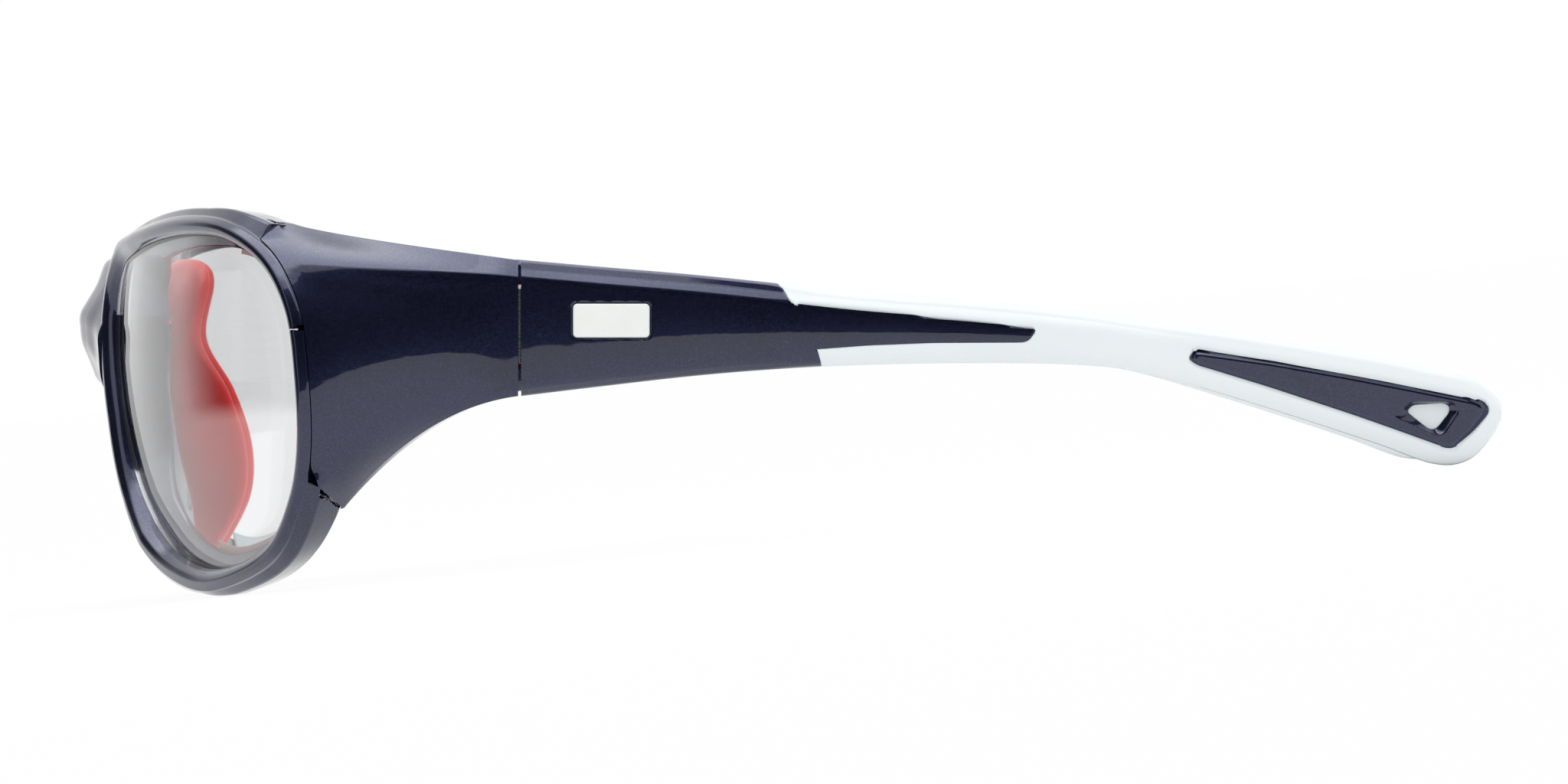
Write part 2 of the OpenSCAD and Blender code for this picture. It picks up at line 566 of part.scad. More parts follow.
// Nose pad: a band over the nose. Each row gives its front edge and its back edge.
NOSE_ROWS = [[[14.8, 14, -18.9], [15.5, 15.2, -18.7]], [[13.6, 13.6, -13], [16.6, 18.3, -12.6]],
    [[11.6, 12, -6.5], [15.4, 18.6, -6.6]], [[9.8, 11.2, -0.4], [13.3, 16.5, 0]],
    [[8, 11, 5.2], [10.8, 13.1, 6.2]], [[6.4, 10.9, 8.2], [9, 14, 13]],
    [[3.8, 9, 7.6], [5.4, 12.9, 15.1]], [[0, 7.4, 6.8], [0, 10.8, 15.2]]];
function flipped(p) = [-p[0], p[1], p[2]];
NOSE_PATH = open_curve(concat([for (r = NOSE_ROWS) [r[0] + nose_shift(r), r[1] + nose_shift(r)]],
    [for (k = [len(NOSE_ROWS) - 2:-1:0]) let (r = NOSE_ROWS[k])
        [flipped(r[0] + nose_shift(r)), flipped(r[1] + nose_shift(r))]]), 2);
function nose_shift(r) = [r[0][0] > 0 ? (bridge_gap - 20) / 2 * clamp01(r[0][0] / 8) : 0, bridge_t - 4.6, 0];
function nose_section(j) = let (
    r = NOSE_PATH[j],
    before = NOSE_PATH[max(j - 1, 0)],
    after = NOSE_PATH[min(j + 1, len(NOSE_PATH) - 1)],
    off = unit(cross(after[0] + after[1] - before[0] - before[1], r[1] - r[0])) * wing_t / 2)
    [for (q = [[0, 0.5], [0.1, 1], [0.5, 1], [0.9, 1], [1, 0.5], [1, -0.5], [0.9, -1], [0.5, -1], [0.1, -1],
        [0, -0.5]]) mix(r[0], r[1], q[0]) + q[1] * off];
stud_x = 2.6;
stud_z = 8.6;
stud_back = 4;
module stud_place(s) {
    translate([s * stud_x, 5 + bridge_t - 4.6, stud_z]) rotate([90, 0, 0]) children();
}

module nose_pad() {
    color(red) union() {
        loft([for (j = [0:len(NOSE_PATH) - 1]) nose_section(j)]);
        for (s = [-1, 1]) stud_place(s) translate([0, 0, -stud_back])
            cylinder(h = stud_l + stud_back, d = stud_d, $fn = 32);
    }
}

rest() front_frame();
rest() left_lens();
rest() other_side() left_lens();  // right_lens
rest() nose_pad();
rest() left_side_pad();
rest() other_side() left_side_pad();  // right_side_pad
rest() left_endpiece();
rest() other_side() left_endpiece();  // right_endpiece
rest() endpiece_screws();
rest() left_hinge_front_leaf();
rest() other_side() left_hinge_front_leaf();  // right_hinge_front_leaf
rest() left_hinge_temple_leaf();
rest() other_side() left_hinge_temple_leaf();  // right_hinge_temple_leaf
rest() left_hinge_screw();
rest() other_side() left_hinge_screw();  // right_hinge_screw
rest() left_temple_arm();
rest() other_side() left_temple_arm();  // right_temple_arm
rest() left_temple_grip();
rest() other_side() left_temple_grip();  // right_temple_grip
rest() left_inlay();
rest() other_side() left_inlay();  // right_inlay
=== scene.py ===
"""Sports goggles in pearl navy with white soft temples, on a pale table in soft studio light.

Shapes are worked out in the worn frame, in mm: +X is the wearer's left, +Y goes back from the
bridge and +Z is up. stand() then sets them down on their rims and temple tips, in metres.
"""
import math

import bpy
import numpy as np
from mathutils import Matrix, Vector


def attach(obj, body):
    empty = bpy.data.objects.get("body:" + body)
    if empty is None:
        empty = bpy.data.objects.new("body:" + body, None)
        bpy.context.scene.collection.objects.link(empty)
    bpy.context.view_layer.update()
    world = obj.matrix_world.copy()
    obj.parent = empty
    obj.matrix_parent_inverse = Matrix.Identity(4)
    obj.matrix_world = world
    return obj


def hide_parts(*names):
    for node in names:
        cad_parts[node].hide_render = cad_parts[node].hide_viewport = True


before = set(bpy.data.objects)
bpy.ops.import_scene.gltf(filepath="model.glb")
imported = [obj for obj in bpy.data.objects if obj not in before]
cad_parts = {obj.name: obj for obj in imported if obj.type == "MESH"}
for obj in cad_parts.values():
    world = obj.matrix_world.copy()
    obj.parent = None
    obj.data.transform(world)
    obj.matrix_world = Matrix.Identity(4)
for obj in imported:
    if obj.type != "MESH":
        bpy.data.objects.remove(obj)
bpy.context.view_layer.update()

# Front frame: two lens rims and the bridge, one injection moulding of nylon under pearl lacquer.
# A ring stands up round each lens; at the temple side the endpiece takes the outer wall's place.
LENS_WIDTH = 49.8
LENS_HEIGHT = 38.6
BRIDGE_GAP = 20.0
LENS_MID_Z = -1.1
EDGE_X = BRIDGE_GAP / 2 + LENS_WIDTH
WRAP_RADIUS = 95.0
WRAP_Y = 3.0
WRAP_Z = -2.0
LEAN = math.tan(math.radians(7.0))
LEAN_Z = 8.0
NOSE_TURN = 0.55
TURN_Z = 14.0
SECTIONS = 51
# Sections where the endpiece takes the outer wall's place; its low end slants to STEP_BACK.
SEAM_TOP, SEAM_LOW, STEP_BACK = 17, 29.1, 30.45
RING_WIDTH = 2.2
RIM_WIDTH = 3.5
RIM_DEPTH = 4.6
RING_RISE = 1.3
LENS_THICK = 2.0
LENS_PLAY = 0.04
GROOVE = 0.8
PITCH = math.radians(6.15081)
REST_Y = 81.3143
REST_Z = -25.2878
# Sections of the endpiece screws and of the split between them, and the screws' counterbores.
SCREW_SECTIONS = (20, 27)
SPLIT_SECTION = 22
BORE_LENGTH, BORE_RADIUS = 2.8, 1.1

# The lens opening from the front, as shares of its width and height: nose side first, then over
# the top to the temple side and back under.
LENS_SHAPE = np.array([
    (0, 0.249), (0.065, 0.396), (0.218, 0.448), (0.388, 0.482), (0.582, 0.5), (0.755, 0.484),
    (0.898, 0.404), (0.978, 0.267), (1, 0.093), (0.988, -0.101), (0.935, -0.264),
    (0.827, -0.409), (0.663, -0.484), (0.476, -0.5), (0.286, -0.422), (0.149, -0.262),
    (0.069, -0.039)])
OPENING = np.stack([BRIDGE_GAP / 2 + LENS_SHAPE[:, 0] * LENS_WIDTH,
                    LENS_MID_Z + LENS_SHAPE[:, 1] * LENS_HEIGHT], 1)
# How far the ring stands above the lens, and the rim's width, along the sections.
RISE_AT = ([0, 3, 8, 16, 30, 34, 38, 43, 45, 48, 51],
           [0.3, -0.1, -0.1, 0, 0, 0.2, 0.6, 1.05, 0.6, 0.3, 0.3])
# Where the ring's inner edge is broken more widely, beside the nose.
BROKEN_AT = ([0, 4, 8, 40, 45, 51], [1, 1, 0, 0, 1, 1])
WIDTH_AT = ([0, 3, 8, 13, 15, 16, 17, 29, 30, 34, 37, 39, 41, 44, 47, 51],
            [0, -0.5, -0.4, -0.3, 0.1, 0.4, 0.8, 0.3, 0.2, -0.1, 0, -0.35, 0.2, 1, 0.5, 0])
# Depth added behind the rim, and the lip that reaches further back beside the nose.
DEPTH_AT = ([0, 28, 30, 31, 33, 36, 39, 51], [0, 0, 0.2, 0, -0.7, -0.6, 0, 0])
LIP_AT = ([0, 2, 4, 7, 44, 46, 47, 49, 50, 51], [1.9, 1.5, 1.4, 0, 0, 1, 1.4, 1.6, 2.1, 1.9])
CREASE_AT = ([0, 4, 8, 34, 38, 51], [0, 0, 1, 1, 0, 0])
# The bridge from one rim to the other: share of its reach, front, back, lowest, highest.
BRIDGE_FLARE = 2.2
BRIDGE_ROWS = np.array([
    (-1, 1.5, 7.4, -6, 16.4), (-0.7, 1, 6.6, -3, 16.2), (-0.36, 0, 5.3, -0.4, 15.7),
    (0, -0.7, 4.6, 0.4, 15.6), (0.36, 0, 5.3, -0.4, 15.7), (0.7, 1, 6.6, -3, 16.2),
    (1, 1.5, 7.4, -6, 16.4)])


def through(points, t, closed):
    """Catmull-Rom curve through points; whole numbers of t are the points themselves:
    half of 2b + (c - a)t + (2a - 5b + 4c - d)t^2 + (3b - a - 3c + d)t^3."""
    count = len(points)
    first = np.floor(t).astype(int)
    if not closed:
        first = np.clip(first, 0, count - 2)
    f = (t - first).reshape(t.shape + (1,) * (points.ndim - 1))
    a, b, c, d = (points[(first + k) % count if closed else np.clip(first + k, 0, count - 1)]
                  for k in (-1, 0, 1, 2))
    return 0.5 * (2 * b + (c - a) * f + (2 * a - 5 * b + 4 * c - d) * f ** 2
                  + (3 * b - a - 3 * c + d) * f ** 3)


def unit(v):
    """v divided by its length."""
    return v / np.linalg.norm(v, axis=-1, keepdims=True)


def wrap_point(x, z):
    """Point of the leaned sphere that both lenses lie on: y = start + R - root + lean, where a
    share of the lean is taken back towards the nose."""
    root = np.sqrt(WRAP_RADIUS ** 2 - x ** 2 - (z - WRAP_Z) ** 2)
    turned = NOSE_TURN * (1 - x / EDGE_X) ** 2
    y = WRAP_Y + WRAP_RADIUS - root + LEAN * (LEAN_Z - z - turned * (TURN_Z - z))
    return np.stack([x, y, z], -1)


def wrap_front(x, z):
    """Unit direction forwards off the surface, from its slopes along x and z."""
    root = np.sqrt(WRAP_RADIUS ** 2 - x ** 2 - (z - WRAP_Z) ** 2)
    share = 1 - x / EDGE_X
    slope_x = x / root + LEAN * (TURN_Z - z) * 2 * NOSE_TURN * share / EDGE_X
    slope_z = (z - WRAP_Z) / root - LEAN * (1 - NOSE_TURN * share ** 2)
    return unit(np.stack([slope_x, -np.ones_like(x), slope_z], -1)), slope_x, slope_z


def off_rim(i, d, h):
    """Point d outwards along the sphere and h forwards off it, at section i of the opening."""
    i, d, h = np.broadcast_arrays(np.asarray(i, float), d, h)
    p = through(OPENING, i / 3, True)
    way = unit(through(OPENING, (i + 1) / 3, True) - through(OPENING, (i - 1) / 3, True))
    x, z, out_x, out_z = p[..., 0], p[..., 1], -way[..., 1], way[..., 0]
    front, slope_x, slope_z = wrap_front(x, z)
    side = unit(np.stack([out_x, slope_x * out_x + slope_z * out_z, out_z], -1))
    return wrap_point(x, z) + d[..., None] * side + h[..., None] * front


def along_rim(i, table):
    """Value of a table of sections and amounts at section i."""
    return np.interp(np.mod(i, SECTIONS), *table)


def full_wall(i):
    """Width of the rim outside the lens opening at section i."""
    return RIM_WIDTH + along_rim(i, WIDTH_AT)


def round_corners(loops, radius, steps=4):
    """Turns each corner of closed loops (rows, corners, axes) into a quadratic arc that begins
    radius before it, with a holding point just outside each end that keeps the flats flat."""
    def leg(v):
        length = np.linalg.norm(v, axis=2, keepdims=True)
        return v * np.minimum(radius / np.maximum(length, 1e-9), 0.4)
    before = leg(np.roll(loops, 1, 1) - loops)[:, :, None]
    after = leg(np.roll(loops, -1, 1) - loops)[:, :, None]
    corner = loops[:, :, None]
    s = np.linspace(0, 1, steps)[None, None, :, None]
    arc = corner + (1 - s) ** 2 * before + s ** 2 * after
    arcs = np.concatenate([corner + 1.15 * before, arc, corner + 1.15 * after], 2)
    return arcs.reshape(len(loops), -1, loops.shape[2])


def seated(i, h):
    """1 where the endpiece lies on the rim at height h, 0 elsewhere. The step is a fifth of a
    section long at the top and a tenth at the low end, which slants from SEAM_LOW in front to
    STEP_BACK behind."""
    last = SEAM_LOW + (STEP_BACK - SEAM_LOW) * np.clip(-h / 4.2, 0, 1)
    return np.clip((i - SEAM_TOP) / 0.2 + 1, 0, 1) * np.clip((last - i) / 0.1 + 1, 0, 1)


def rim_depth(i):
    """Depth of the rim behind the lens's front face at section i."""
    return RIM_DEPTH + along_rim(i, DEPTH_AT)


def rim_grid(i):
    """The rim's profile, in d and h, carried round the opening through sections i."""
    top = RING_RISE + along_rim(i, RISE_AT)
    k, m = along_rim(i, CREASE_AT), along_rim(i, BROKEN_AT)
    full = full_wall(i)
    back = -rim_depth(i)
    lip = back - along_rim(i, LIP_AT)
    zero = np.zeros_like(i)
    low = zero - LENS_THICK - LENS_PLAY
    w = full + (RING_WIDTH - full) * seated(i, zero)
    shoulder = top - 1.1 + (0.7 - top) * (w - RING_WIDTH) / 1.4
    edge = top - 2.2 + (0.4 - top) * k
    wall = []
    for share in (0.0, 0.2, 0.4, 0.6, 0.8, 1.0):
        h = edge + (back + 0.4 - edge) * share
        wall.append((full + (RING_WIDTH - full) * seated(i, h), h))
    profile = np.stack([np.stack(q, 1) for q in (
        (zero, zero), (0.15 * m, (top - 1) * (1 - 0.4 * m)),
        (0.3 + 0.35 * m, top - 0.35 - 0.2 * m), (0.9 + 0.5 * m, top - 0.05 * m),
        (1.5 + 0.35 * m, top - 0.05 * k), (zero + RING_WIDTH - 0.1, top - 0.6 * k),
        (zero + RING_WIDTH, top - 0.1 - 0.9 * k),
        (w - 0.35 * (1 - k) - 0.02, top - 0.8 + (shoulder - top + 0.8) * k), *wall,
        (wall[-1][0] - 0.5, back), (zero - 0.9, lip), (zero - 1.1, lip + 0.8), (zero, low - 0.4),
        (zero, low), (zero + GROOVE, low), (zero + GROOVE, zero))], 1)
    radius = np.array([0.05, 0.25, 0.25, 0.3, 0.3, 0.12, 0.1, 0.3, 0.5, 0.1, 0.1, 0.1, 0.1, 0.4,
                       0.4, 0.3, 0.3, 0.1, 0.05, 0.05, 0.05])[None, :, None]
    rounded = round_corners(profile, radius)
    return off_rim(i[:, None], rounded[..., 0], rounded[..., 1])


def bridge_grid(rows):
    """The bridge's rounded section carried from one rim to the other."""
    t = np.linspace(0, len(BRIDGE_ROWS) - 1, rows)
    x, front, back, low, high = through(BRIDGE_ROWS, t, False).T
    shape = np.array([(0.8, 0), (0.42, 0.03), (0.25, 0.19), (0.06, 0.34), (0, 0.56), (0.21, 0.68),
                      (0.4, 0.79), (0.58, 0.97), (0.8, 1), (1, 0.93), (1, 0.8), (1, 0.68),
                      (1, 0.5), (1, 0.34), (1, 0.19), (1, 0.06)])
    y = front[:, None] + (back - front)[:, None] * shape[:, 0]
    z = low[:, None] + (high - low)[:, None] * shape[:, 1]
    flare = BRIDGE_FLARE * x[:, None] ** 4 * (2 * shape[:, 1] - 1) ** 4
    x = x[:, None] * (BRIDGE_GAP / 2 - 1.2 + flare)
    return round_corners(np.stack([x, y, z], -1), 0.9, 5)


def stand(p):
    """Worn mm turned by the pitch and set on the table: y' = y cos + z sin, z' = z cos - y sin."""
    c, s = math.cos(PITCH), math.sin(PITCH)
    x, y, z = p[..., 0], p[..., 1], p[..., 2]
    return np.stack([x, y * c + z * s - REST_Y, z * c - y * s - REST_Z], -1) / 1000


def shell(grid, ring=False):
    """Points and faces of a tube whose rows are closed loops of an even count. An open tube's ends
    are closed across, from the first half of the loop to the second. Faces are turned outwards by
    the sign of the volume."""
    rows, cols = grid.shape[:2]
    r, k = np.meshgrid(np.arange(rows if ring else rows - 1), np.arange(cols), indexing="ij")
    r, k = r.ravel(), k.ravel()
    far, right = (r + 1) % rows * cols, (k + 1) % cols
    quads = np.stack([r * cols + k, r * cols + right, far + right, far + k], 1)
    points = grid.reshape(-1, 3)
    if not ring:
        k = np.arange(cols // 2 - 1)
        cap = np.stack([k + 1, k, cols - 1 - k, cols - 2 - k], 1)
        quads = np.concatenate([quads, cap, cap[:, ::-1] + (rows - 1) * cols])
    corners = np.concatenate([quads[:, :3], quads[:, [0, 2, 3]]])
    a, b, c = (points[corners[:, n]] for n in range(3))
    if np.einsum("ij,ij->", a, np.cross(b, c)) < 0:
        quads = quads[:, ::-1]
    return points, quads


def mirrored(grid):
    """The same piece on the wearer's right."""
    return grid * np.array([-1, 1, 1])


def build(name, shells):
    """One smooth mesh object of closed shells (points, quads)."""
    points, faces, start = [], [], 0
    for p, quads in shells:
        points.append(stand(p))
        faces += (quads + start).tolist()
        start += len(p)
    mesh = bpy.data.meshes.new(name)
    mesh.from_pydata(np.concatenate(points).tolist(), [], faces)
    mesh.shade_smooth()
    piece = bpy.data.objects.new(name, mesh)
    bpy.context.scene.collection.objects.link(piece)
    return piece


def combine(piece, shells, way="DIFFERENCE"):
    """Cuts closed shells out of a piece or joins them to it; edges over 38 degrees stay sharp."""
    tool = build(piece.name + "_tool", shells)
    cut = piece.modifiers.new("cut", "BOOLEAN")
    cut.operation, cut.solver, cut.object = way, "MANIFOLD", tool
    graph = bpy.context.evaluated_depsgraph_get()
    mesh = bpy.data.meshes.new_from_object(piece.evaluated_get(graph))
    piece.modifiers.clear()
    old, piece.data = piece.data, mesh
    bpy.data.meshes.remove(old)
    bpy.data.objects.remove(tool)
    mesh.set_sharp_from_angle(angle=math.radians(38))


def dress(piece, finish, body, node):
    """Gives a piece its material and sets it on its body in place of its CAD node."""
    piece.data.materials.clear()
    piece.data.materials.append(finish)
    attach(piece, body)
    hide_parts(node)


def rod(start, way, length, radius, sides=40):
    """A round rod from start along way."""
    way = np.asarray(way, float) / np.linalg.norm(way)
    across = unit(np.cross(way, (0.3, 0.5, 0.8)))
    turn = np.linspace(0, 2 * math.pi, sides, endpoint=False)[:, None]
    ring = radius * (np.cos(turn) * across + np.sin(turn) * np.cross(way, across))
    return np.stack([start + ring, start + ring + way * length])


def linear(code):
    """sRGB hex colour as linear RGBA."""
    parts = [int(code[n:n + 2], 16) / 255 for n in (1, 3, 5)]
    return tuple(v / 12.92 if v <= 0.04045 else ((v + 0.055) / 1.055) ** 2.4 for v in parts) + (1,)


def new_finish(name, **settings):
    """A material with its Principled shader's sockets set: returns material, tree and shader."""
    material = bpy.data.materials.new(name)
    material.use_nodes = True
    tree = material.node_tree
    shader = tree.nodes["Principled BSDF"]
    for socket, value in settings.items():
        shader.inputs[socket.replace("_", " ")].default_value = value
    return material, tree, shader


def add(tree, kind, values=None, links=None, **settings):
    """Adds a node, sets its attributes and input values, and links sockets into its inputs."""
    node = tree.nodes.new("ShaderNode" + kind)
    for key, value in settings.items():
        setattr(node, key, value)
    for key, value in (values or {}).items():
        node.inputs[key].default_value = value
    for key, socket in (links or {}).items():
        tree.links.new(socket, node.inputs[key])
    return node


def pearl_lacquer():
    """Dark navy nylon under pearl lacquer: mica flakes 0.1 mm across tint the colour and tilt the
    shine a little, and the clear coat has the slow waves of a sprayed surface."""
    material, tree, shader = new_finish(
        "pearl_navy_nylon", Metallic=0.82, Roughness=0.25, Coat_Weight=1.0, Coat_Roughness=0.02,
        Coat_IOR=1.55)
    place = add(tree, "TexCoord").outputs["Object"]
    flakes = add(tree, "TexVoronoi", {"Scale": 9000.0}, {"Vector": place})
    tone = add(tree, "ValToRGB", None, {"Fac": flakes.outputs["Color"]})
    tone.color_ramp.elements[0].color = linear("#15172E")
    tone.color_ramp.elements[1].color = linear("#3A3F66")
    middle = tone.color_ramp.elements.new(0.62)
    middle.color = linear("#1F2342")
    cloud = add(tree, "TexNoise", {"Scale": 90.0, "Detail": 3.0}, {"Vector": place})
    mixed = add(tree, "MixRGB", {"Color2": linear("#2A2F52")},
                {"Color1": tone.outputs["Color"], "Fac": add(
                    tree, "MapRange", {"From Min": 0.35, "From Max": 0.7, "To Min": 0.0,
                                       "To Max": 0.35},
                    {"Value": cloud.outputs["Fac"]}).outputs["Result"]})
    tree.links.new(mixed.outputs["Color"], shader.inputs["Base Color"])
    tilt = add(tree, "Bump", {"Strength": 0.4, "Distance": 0.00002},
               {"Height": flakes.outputs["Color"]})
    tree.links.new(tilt.outputs["Normal"], shader.inputs["Normal"])
    peel = add(tree, "TexNoise", {"Scale": 420.0, "Detail": 1.0}, {"Vector": place})
    waves = add(tree, "Bump", {"Strength": 0.25, "Distance": 0.00003},
                {"Height": peel.outputs["Fac"]})
    tree.links.new(waves.outputs["Normal"], shader.inputs["Coat Normal"])
    return material


def across_rim(section):
    """Point on the opening's edge behind the lens, and the unit direction outwards there."""
    inside, outside = off_rim(section, np.array([0.0, 1.0]), np.array(1.35 - RIM_DEPTH))
    return inside, outside - inside


def split_cutter():
    """A thin slot through the temple side of the rim, flared where it meets the endpiece."""
    inside, way = across_rim(SPLIT_SECTION)
    front = wrap_front(*off_rim(SPLIT_SECTION, np.array(0.0), np.array(0.0))[[0, 2]])[0]
    along = np.cross(way, front)
    outline = np.array([(-2.6, -0.08), (1.2, -0.08), (2.6, -0.5), (4.2, -0.5), (4.2, 0.5),
                        (2.6, 0.5), (1.2, 0.08), (-2.6, 0.08)])
    flat = inside + outline[:, :1] * way + outline[:, 1:] * along
    return np.stack([flat - 7 * front, flat + 7 * front])


pearl_navy = pearl_lacquer()
step = np.arange(SEAM_LOW - 0.1, STEP_BACK + 0.3, 0.05)
sections = np.unique(np.concatenate([np.arange(0, SECTIONS, 0.2), step, SEAM_TOP - step % 0.2]))
left_rim = rim_grid(sections)
front = build("front_frame_shell", [shell(left_rim, True)])
combine(front, [shell(mirrored(left_rim), True)], "UNION")
combine(front, [shell(bridge_grid(90))], "UNION")
# Counterbores for the endpiece screws, from inside the rim, and the split between them.
cuts = [split_cutter()]
for section in SCREW_SECTIONS:
    inside, way = across_rim(section)
    cuts.append(rod(inside - 2 * way, way, BORE_LENGTH, BORE_RADIUS))
combine(front, [shell(turn(cut)) for cut in cuts for turn in (np.copy, mirrored)])
dress(front, pearl_navy, "front", "front_frame")

# Lenses: clear polycarbonate 2 mm thick, moulded to the wrap, hard coated and snapped into the
# rims' grooves.
def lens_grid(rings):
    """Front face from the middle out to the edge, then the back face in again: every ring is a
    share of the way from the middle to the rim's groove, on the sphere or 2 mm behind it."""
    i = np.arange(0, SECTIONS, 0.25)
    edge = off_rim(i, GROOVE - LENS_PLAY, 0.0)
    share = np.linspace(0.02, 1, rings) ** 0.8
    share, depth = np.concatenate([share, share[::-1]]), np.repeat([-LENS_PLAY, -LENS_THICK], rings)
    x = (BRIDGE_GAP / 2 + 0.52 * LENS_WIDTH) * (1 - share[:, None]) + edge[:, 0] * share[:, None]
    z = LENS_MID_Z * (1 - share[:, None]) + edge[:, 2] * share[:, None]
    return wrap_point(x, z) + depth[:, None, None] * wrap_front(x, z)[0]


def clear_polycarbonate():
    """Clear polycarbonate with a faint grey tone and a hard coat that carries hair-fine wear."""
    material, tree, shader = new_finish(
        "clear_polycarbonate", Base_Color=(0.94, 0.945, 0.95, 1), Transmission_Weight=1.0,
        IOR=1.585)
    place = add(tree, "TexCoord").outputs["Object"]
    smear = add(tree, "TexNoise", {"Scale": 160.0, "Detail": 5.0}, {"Vector": place})
    rough = add(tree, "MapRange", {"From Min": 0.3, "From Max": 0.8, "To Min": 0.004,
                                   "To Max": 0.03}, {"Value": smear.outputs["Fac"]})
    tree.links.new(rough.outputs["Result"], shader.inputs["Roughness"])
    return material


lens_finish = clear_polycarbonate()
for side in ("left", "right"):
    grid = lens_grid(26) if side == "left" else mirrored(lens_grid(26))
    lens = build(side + "_lens_clear", [shell(grid)])
    lens.data.set_sharp_from_angle(angle=math.radians(38))
    dress(lens, lens_finish, "front", side + "_lens")

# Endpieces: navy mouldings screwed on the rims' outer walls. Each follows the rim at its front
# edge and bends back to the hinge seam; a long bevel runs along its upper edge.
END_LENGTH = 25.3
END_HEIGHT = 15.7
END_THICK = 5.0
FLARE = 9.0
BEVEL = 2.1
SEAT_GAP = 0.12
SEAM_GAP = 0.35
HINGE_Z = 7.45
SEAM_Y = float(wrap_point(np.array(EDGE_X), np.array(0.0))[1]) + END_LENGTH
OUTER_X = EDGE_X + FLARE
INNER_X = OUTER_X - END_THICK
AXIS_X = INNER_X - 0.1
POCKET_HEIGHT, POCKET_RADIUS = 10.6, 1.75


def soft_ramp(t, w):
    """0 below 0 and t above it, with a parabola over -w to w between them."""
    return np.where(t < -w, 0, np.where(t > w, t, (t + w) ** 2 / (4 * w)))


def ease_corners(v, line):
    """The line averaged over 0.24 of its length, with both ends kept: its corners become bends."""
    even = np.linspace(0, 1, 201)
    order = np.argsort(v)
    soft = []
    for axis in range(3):
        flat = np.interp(even, v[order], line[order, axis])
        padded = np.concatenate([2 * flat[0] - flat[24:0:-1], flat, 2 * flat[-1] - flat[-2:-26:-1]])
        soft.append(np.interp(v, even, np.convolve(padded, np.hanning(51)[1:-1] / 25, "valid")))
    return np.stack(soft, 1)


def endpiece_grid(rows):
    """Rows from the rim to the seam; each is a loop of the outer face from below, then the inner
    face from above. Every line of it is a cubic with its ends leaving the rim and meeting the
    seam in given directions."""
    v = np.concatenate([np.linspace(0, 0.16, 26), np.linspace(0.18, 0.8, 26),
                        np.linspace(0.81, 0.94, 16), [0.955, 0.97, 0.985, 1]])
    s = np.linspace(0, 1, rows)[:, None, None]
    halves = []
    for outer in (True, False):
        if not outer:
            v = v[::-1]
        # Sections run from the slanted low end of the seat to just over its top.
        i = np.where(v < 1 / 15, 30.6 - 9 * v, 31 - 15 * v)
        tip = np.clip((v - 14 / 15) * 15, 0, 1)
        slant = np.clip((i - SEAM_LOW) / (STEP_BACK - SEAM_LOW), 0, 1)
        if outer:
            rise = np.clip((29.25 - i) / 1.1, 0, 1)
            on_ring = np.clip((i - SEAM_TOP) / 0.2 + 1, 0, 1) * rise ** 2 * (3 - 2 * rise)
            h = (1 - on_ring) * (-4.2 * slant - 1.8 * (i < SEAM_TOP)) + on_ring * (
                RING_RISE + along_rim(i, RISE_AT) - 1)
            bevel_share = BEVEL / END_HEIGHT
            top_in = soft_ramp((v - 1 + bevel_share) / bevel_share, 0.1)
            low_in = np.clip((0.04 - v) / 0.04, 0, 1)
            x = OUTER_X - 1.2 * top_in - 0.3 * low_in + 0.25 * (1 - (2 * v - 1) ** 2)
            drop, pull = 0 * v, 8
        else:
            on_ring = seated(i, np.full_like(i, -4.2))
            h = (-rim_depth(i) - 0.2) * (1 - tip) - 3 * tip
            x = INNER_X + 0.5 * np.clip(1 - np.minimum(v, 1 - v) / 0.05, 0, 1)
            drop, pull = tip, 6
        d = SEAT_GAP + full_wall(i) * (1 - on_ring) + RING_WIDTH * on_ring
        start = off_rim(i, d, h)
        end = np.stack([x, np.full_like(v, SEAM_Y - SEAM_GAP / 2),
                        HINGE_Z + (v - 0.5) * END_HEIGHT - 0.4 * drop], 1)
        full = 0.35 * np.exp(-((v - 0.85) / 0.09) ** 2) * outer
        leave = unit(np.stack([0.2 + 0.15 * v + full, np.ones_like(v), 1.19 - 1.49 * v ** 0.8],
                              1)) * pull
        leave[:, 2] -= 0.6 * drop
        arrive = unit(np.stack([0.03 + 0 * v, np.ones_like(v), 0.13 - 0.27 * v], 1)) * 9
        eased = ease_corners(v, start) if outer else start
        soon = np.clip(s / 0.1, 0, 1) ** 2 * (3 - 2 * np.clip(s / 0.1, 0, 1))
        start = start + (eased - start) * soon
        halves.append((1 - s) ** 3 * start + 3 * (1 - s) ** 2 * s * (eased + leave)
                      + 3 * (1 - s) * s ** 2 * (end - arrive) + s ** 3 * end)
    return round_corners(np.concatenate(halves, 1), 0.3, 3)


def hinge_room(way):
    """Cutters for the hinge: the knuckles' round pocket, and the leaf's bed on one side of it."""
    pocket = rod(np.array([AXIS_X, SEAM_Y, HINGE_Z - POCKET_HEIGHT / 2]), (0, 0, 1),
                 POCKET_HEIGHT, POCKET_RADIUS, 64)
    y0, y1 = sorted((0.0, way * 8.04))
    x0, x1, z0, z1 = AXIS_X - 2.8, AXIS_X + 0.54, HINGE_Z - 4.14, HINGE_Z + 4.14
    bed = np.array([[(x0, y, z0), (x1, y, z0), (x1, y, z1), (x0, y, z1)]
                    for y in (SEAM_Y + y0, SEAM_Y + y1)])
    return [pocket, bed]


for side in ("left", "right"):
    turn = (lambda g: g) if side == "left" else mirrored
    endpiece = build(side + "_endpiece_shell", [shell(turn(endpiece_grid(70)))])
    combine(endpiece, [shell(turn(g)) for g in hinge_room(-1)])
    dress(endpiece, pearl_navy, "front", side + "_endpiece")

# Temples: a navy nylon core with a white soft overmould. The core shows at the hinge, as a tongue
# on the outer face and as a panel round the strap slot; elsewhere it lies under the grip.
TEMPLE_LENGTH = 113.0
GRIP_THICK = 0.9
